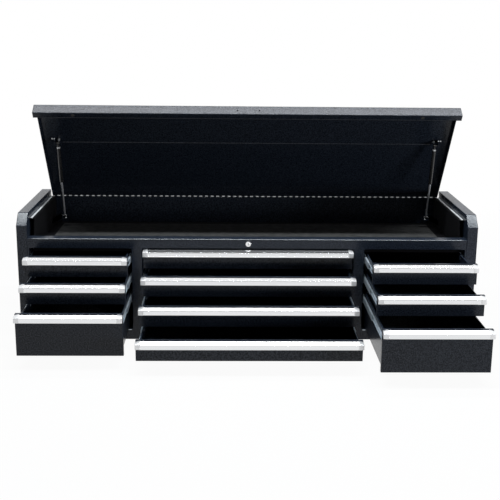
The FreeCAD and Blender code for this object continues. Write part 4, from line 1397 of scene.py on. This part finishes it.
# %% Lock
LOCK_Z = 399
LOCK_AXIS = (0, 0, LOCK_Z)
BARREL = [(-276, 6.1), (-276, 9.6), (-275.6, 10.6), (-275, 11), (-274.05, 11),
          (-274.05, 9.4), (-261.4, 9.4), (-261, 9), (-261, 6.1)]
PLUG = [(-276.4, 4.6), (-276.2, 5.4), (-275.8, 5.9), (-275, 6), (-261, 6), (-260.5, 5.6)]
CAM = [(-6, LOCK_Z), (6, LOCK_Z), (4, LOCK_Z + 16), (-4, LOCK_Z + 16)]
KEY_SLOT = block((-0.9, LOCK_Z - 4), (0.9, LOCK_Z + 4))
shape = bmesh.new()
spin(shape, BARREL, LOCK_AXIS, "Y", 40)
finished("lock_housing", shape, "case", "lock_chrome", ["lock_barrel"])
shape = bmesh.new()
spin(shape, PLUG, LOCK_AXIS, "Y", 32)
push(shape, eased(CAM, [0, 0, 2.5, 2.5]), "Y", -261, -259, 0.3)
finished("lock_plug_turned", shape, "lock_plug", "lock_chrome", ["lock_plug"])
# A thin dark slip, painted shade, stands in for the shade inside the keyway.
shape = bmesh.new()
push(shape, eased(KEY_SLOT, 0.6, 3), "Y", -276.42, -276.1)
finished("lock_keyway", shape, "lock_plug", "recess")
print("pieces so far:", len(made))

# %% [markdown]
# ## Plugs in the sill
# Two bright plugs close the fixing holes in the sill, one near the foot of each pillar. From
# in front they are narrow slots with round ends, so each is a thin plate of that outline.

# %% Sill plugs
SILL_PLUG_X = 475
SILL_PLUG_HALF = 6.5
SILL_PLUG_LOW, SILL_PLUG_HIGH = 39.7, 42.3
shape = bmesh.new()
for side in (-1, 1):
    x = side * SILL_PLUG_X
    ring = block((x - SILL_PLUG_HALF, SILL_PLUG_LOW), (x + SILL_PLUG_HALF, SILL_PLUG_HIGH))
    push(shape, eased(ring, 1.2, 5), "Y", FRONT - 0.5, FRONT + 0.4, 0.2)
finished("sill_plugs", shape, "case", "zinc_steel")
print("pieces in all:", len(made))

# %% [markdown]
# ## Lamps
# Black paint shows only what it reflects, so the lamps are long and narrow: each draws one
# clean line along a fold. One hangs over the front, one behind lights the lid's outer face,
# and a low one on the right fills the fronts and the drawers' sides.

# %% Lamps
def lamp(name, place, aim, size, power, colour=(1, 1, 1)):
    data = bpy.data.lights.new(name, "AREA")
    data.shape = "RECTANGLE"
    data.size, data.size_y = size
    data.energy = power
    data.color = colour
    light = bpy.data.objects.new(name, data)
    light.location = place
    light.rotation_mode = "QUATERNION"
    light.rotation_quaternion = (Vector(aim) - Vector(place)).to_track_quat("-Z", "Y")
    light.visible_camera = False
    scene.collection.objects.link(light)
    print(name, "at", place)


lamp("overhead_light", (0.3, -0.79, 3.4), (0.3, -0.1, 0.4), (4.2, 0.2), 108, (0.9, 0.96, 1.0))
lamp("rear_light", (0.2, 0.46, 3.3), (0.2, 0, 0.6), (3.4, 0.28), 34)
lamp("right_light", (3.4, -2.0, 0.5), (-0.4, -0.4, 0.2), (1.2, 0.5), 38)

# %% [markdown]
# ## The world
# The background is white to the eye and in mirrors, but a white world would wash all the black
# paint with light. A Light Path node tells the kinds of ray apart, so the world can show white
# and still give only a little light.

# %% World
WORLD_LIGHT = 0.03


def seen_by(tree, rays):
    """1 for the named kinds of ray, and 0 for all others."""
    path = add_node(tree, "ShaderNodeLightPath")
    seen = path[rays[0]]
    for ray in rays[1:]:
        seen = add_node(tree, "ShaderNodeMath", {0: seen, 1: path[ray]}, operation="MAXIMUM")[0]
    return seen


def studio_world():
    world = bpy.data.worlds.new("studio")
    world.use_nodes = True
    tree = world.node_tree
    seen = seen_by(tree, ("Is Camera Ray", "Is Glossy Ray", "Is Transmission Ray"))
    level = add_node(tree, "ShaderNodeMapRange", {
        "Value": seen, "To Min": WORLD_LIGHT, "To Max": 1.0})["Result"]
    shader = tree.nodes["Background"]
    shader.inputs["Color"].default_value = (1, 1, 1, 1)
    tree.links.new(level, shader.inputs["Strength"])
    return world


scene.world = studio_world()
print("light from the world:", WORLD_LIGHT)

# %% [markdown]
# ## The floor
# The floor is nearly white, and turns to the world's white far away, so that no horizon shows.
# Close to the chest it still takes some shadow. It is darker to rays that have already bounced
# off something matt, or it would light the drawers from below.

# %% Floor
FLOOR_WHITE = (0.95, 0.95, 0.95)
FLOOR_BOUNCE = (0.12, 0.12, 0.12)
FADE_START, FADE_END = 1.3, 3.0
FADE_SHARES = (0.95, 1.0)
FLOOR_REACH = 30
FLOOR_DROP = 0.0005


def floor_paint():
    paint = Finish("floor", FLOOR_WHITE, 0, 0.9)
    paint.set("Specular IOR Level", 0.0)
    tree = paint.tree
    bounce = add_node(tree, "ShaderNodeLightPath")["Is Diffuse Ray"]
    paint.drive("Base Color", paint.blend(bounce, FLOOR_WHITE, FLOOR_BOUNCE))
    away = add_node(tree, "ShaderNodeVectorMath", {0: paint.place}, operation="LENGTH")["Value"]
    fade = paint.spread(away, *FADE_SHARES, FADE_START, FADE_END)
    seen = seen_by(tree, ("Is Camera Ray", "Is Glossy Ray"))
    share = add_node(tree, "ShaderNodeMath", {0: seen, 1: fade}, operation="MULTIPLY")[0]
    glow = add_node(tree, "ShaderNodeEmission", {"Strength": 1.0})["Emission"]
    mix = add_node(tree, "ShaderNodeMixShader", {
        "Fac": share, 1: paint.shader.outputs["BSDF"], 2: glow})["Shader"]
    tree.links.new(mix, tree.nodes["Material Output"].inputs["Surface"])
    return paint.material


mesh = bpy.data.meshes.new("floor")
corners = block((-FLOOR_REACH, -FLOOR_REACH), (FLOOR_REACH, FLOOR_REACH))
mesh.from_pydata([(x, y, -FLOOR_DROP) for x, y in corners], [], [(0, 1, 2, 3)])
mesh.materials.append(floor_paint())
floor = bpy.data.objects.new("floor", mesh)
scene.collection.objects.link(floor)
scene.view_settings.view_transform = "Standard"
print("floor:", 2 * FLOOR_REACH, "m across")

# %% [markdown]
# ## The plain solids
# Every solid is replaced by a finished piece. It still gets a finish of its own kind by its
# name, so that none would stand out if it were ever shown.

# %% Paint the plain solids
def solid_finish(name):
    if name in finishes:
        return name
    if "rails" in name or "hinge" in name or "brackets" in name:
        return "zinc_steel"
    if name.endswith("_pull"):
        return "pull_aluminium"
    return "black_paint"


for name, node in nodes.items():
    node.data.materials.clear()
    node.data.materials.append(finishes[solid_finish(name)])
print("plain solids painted:", len(nodes))
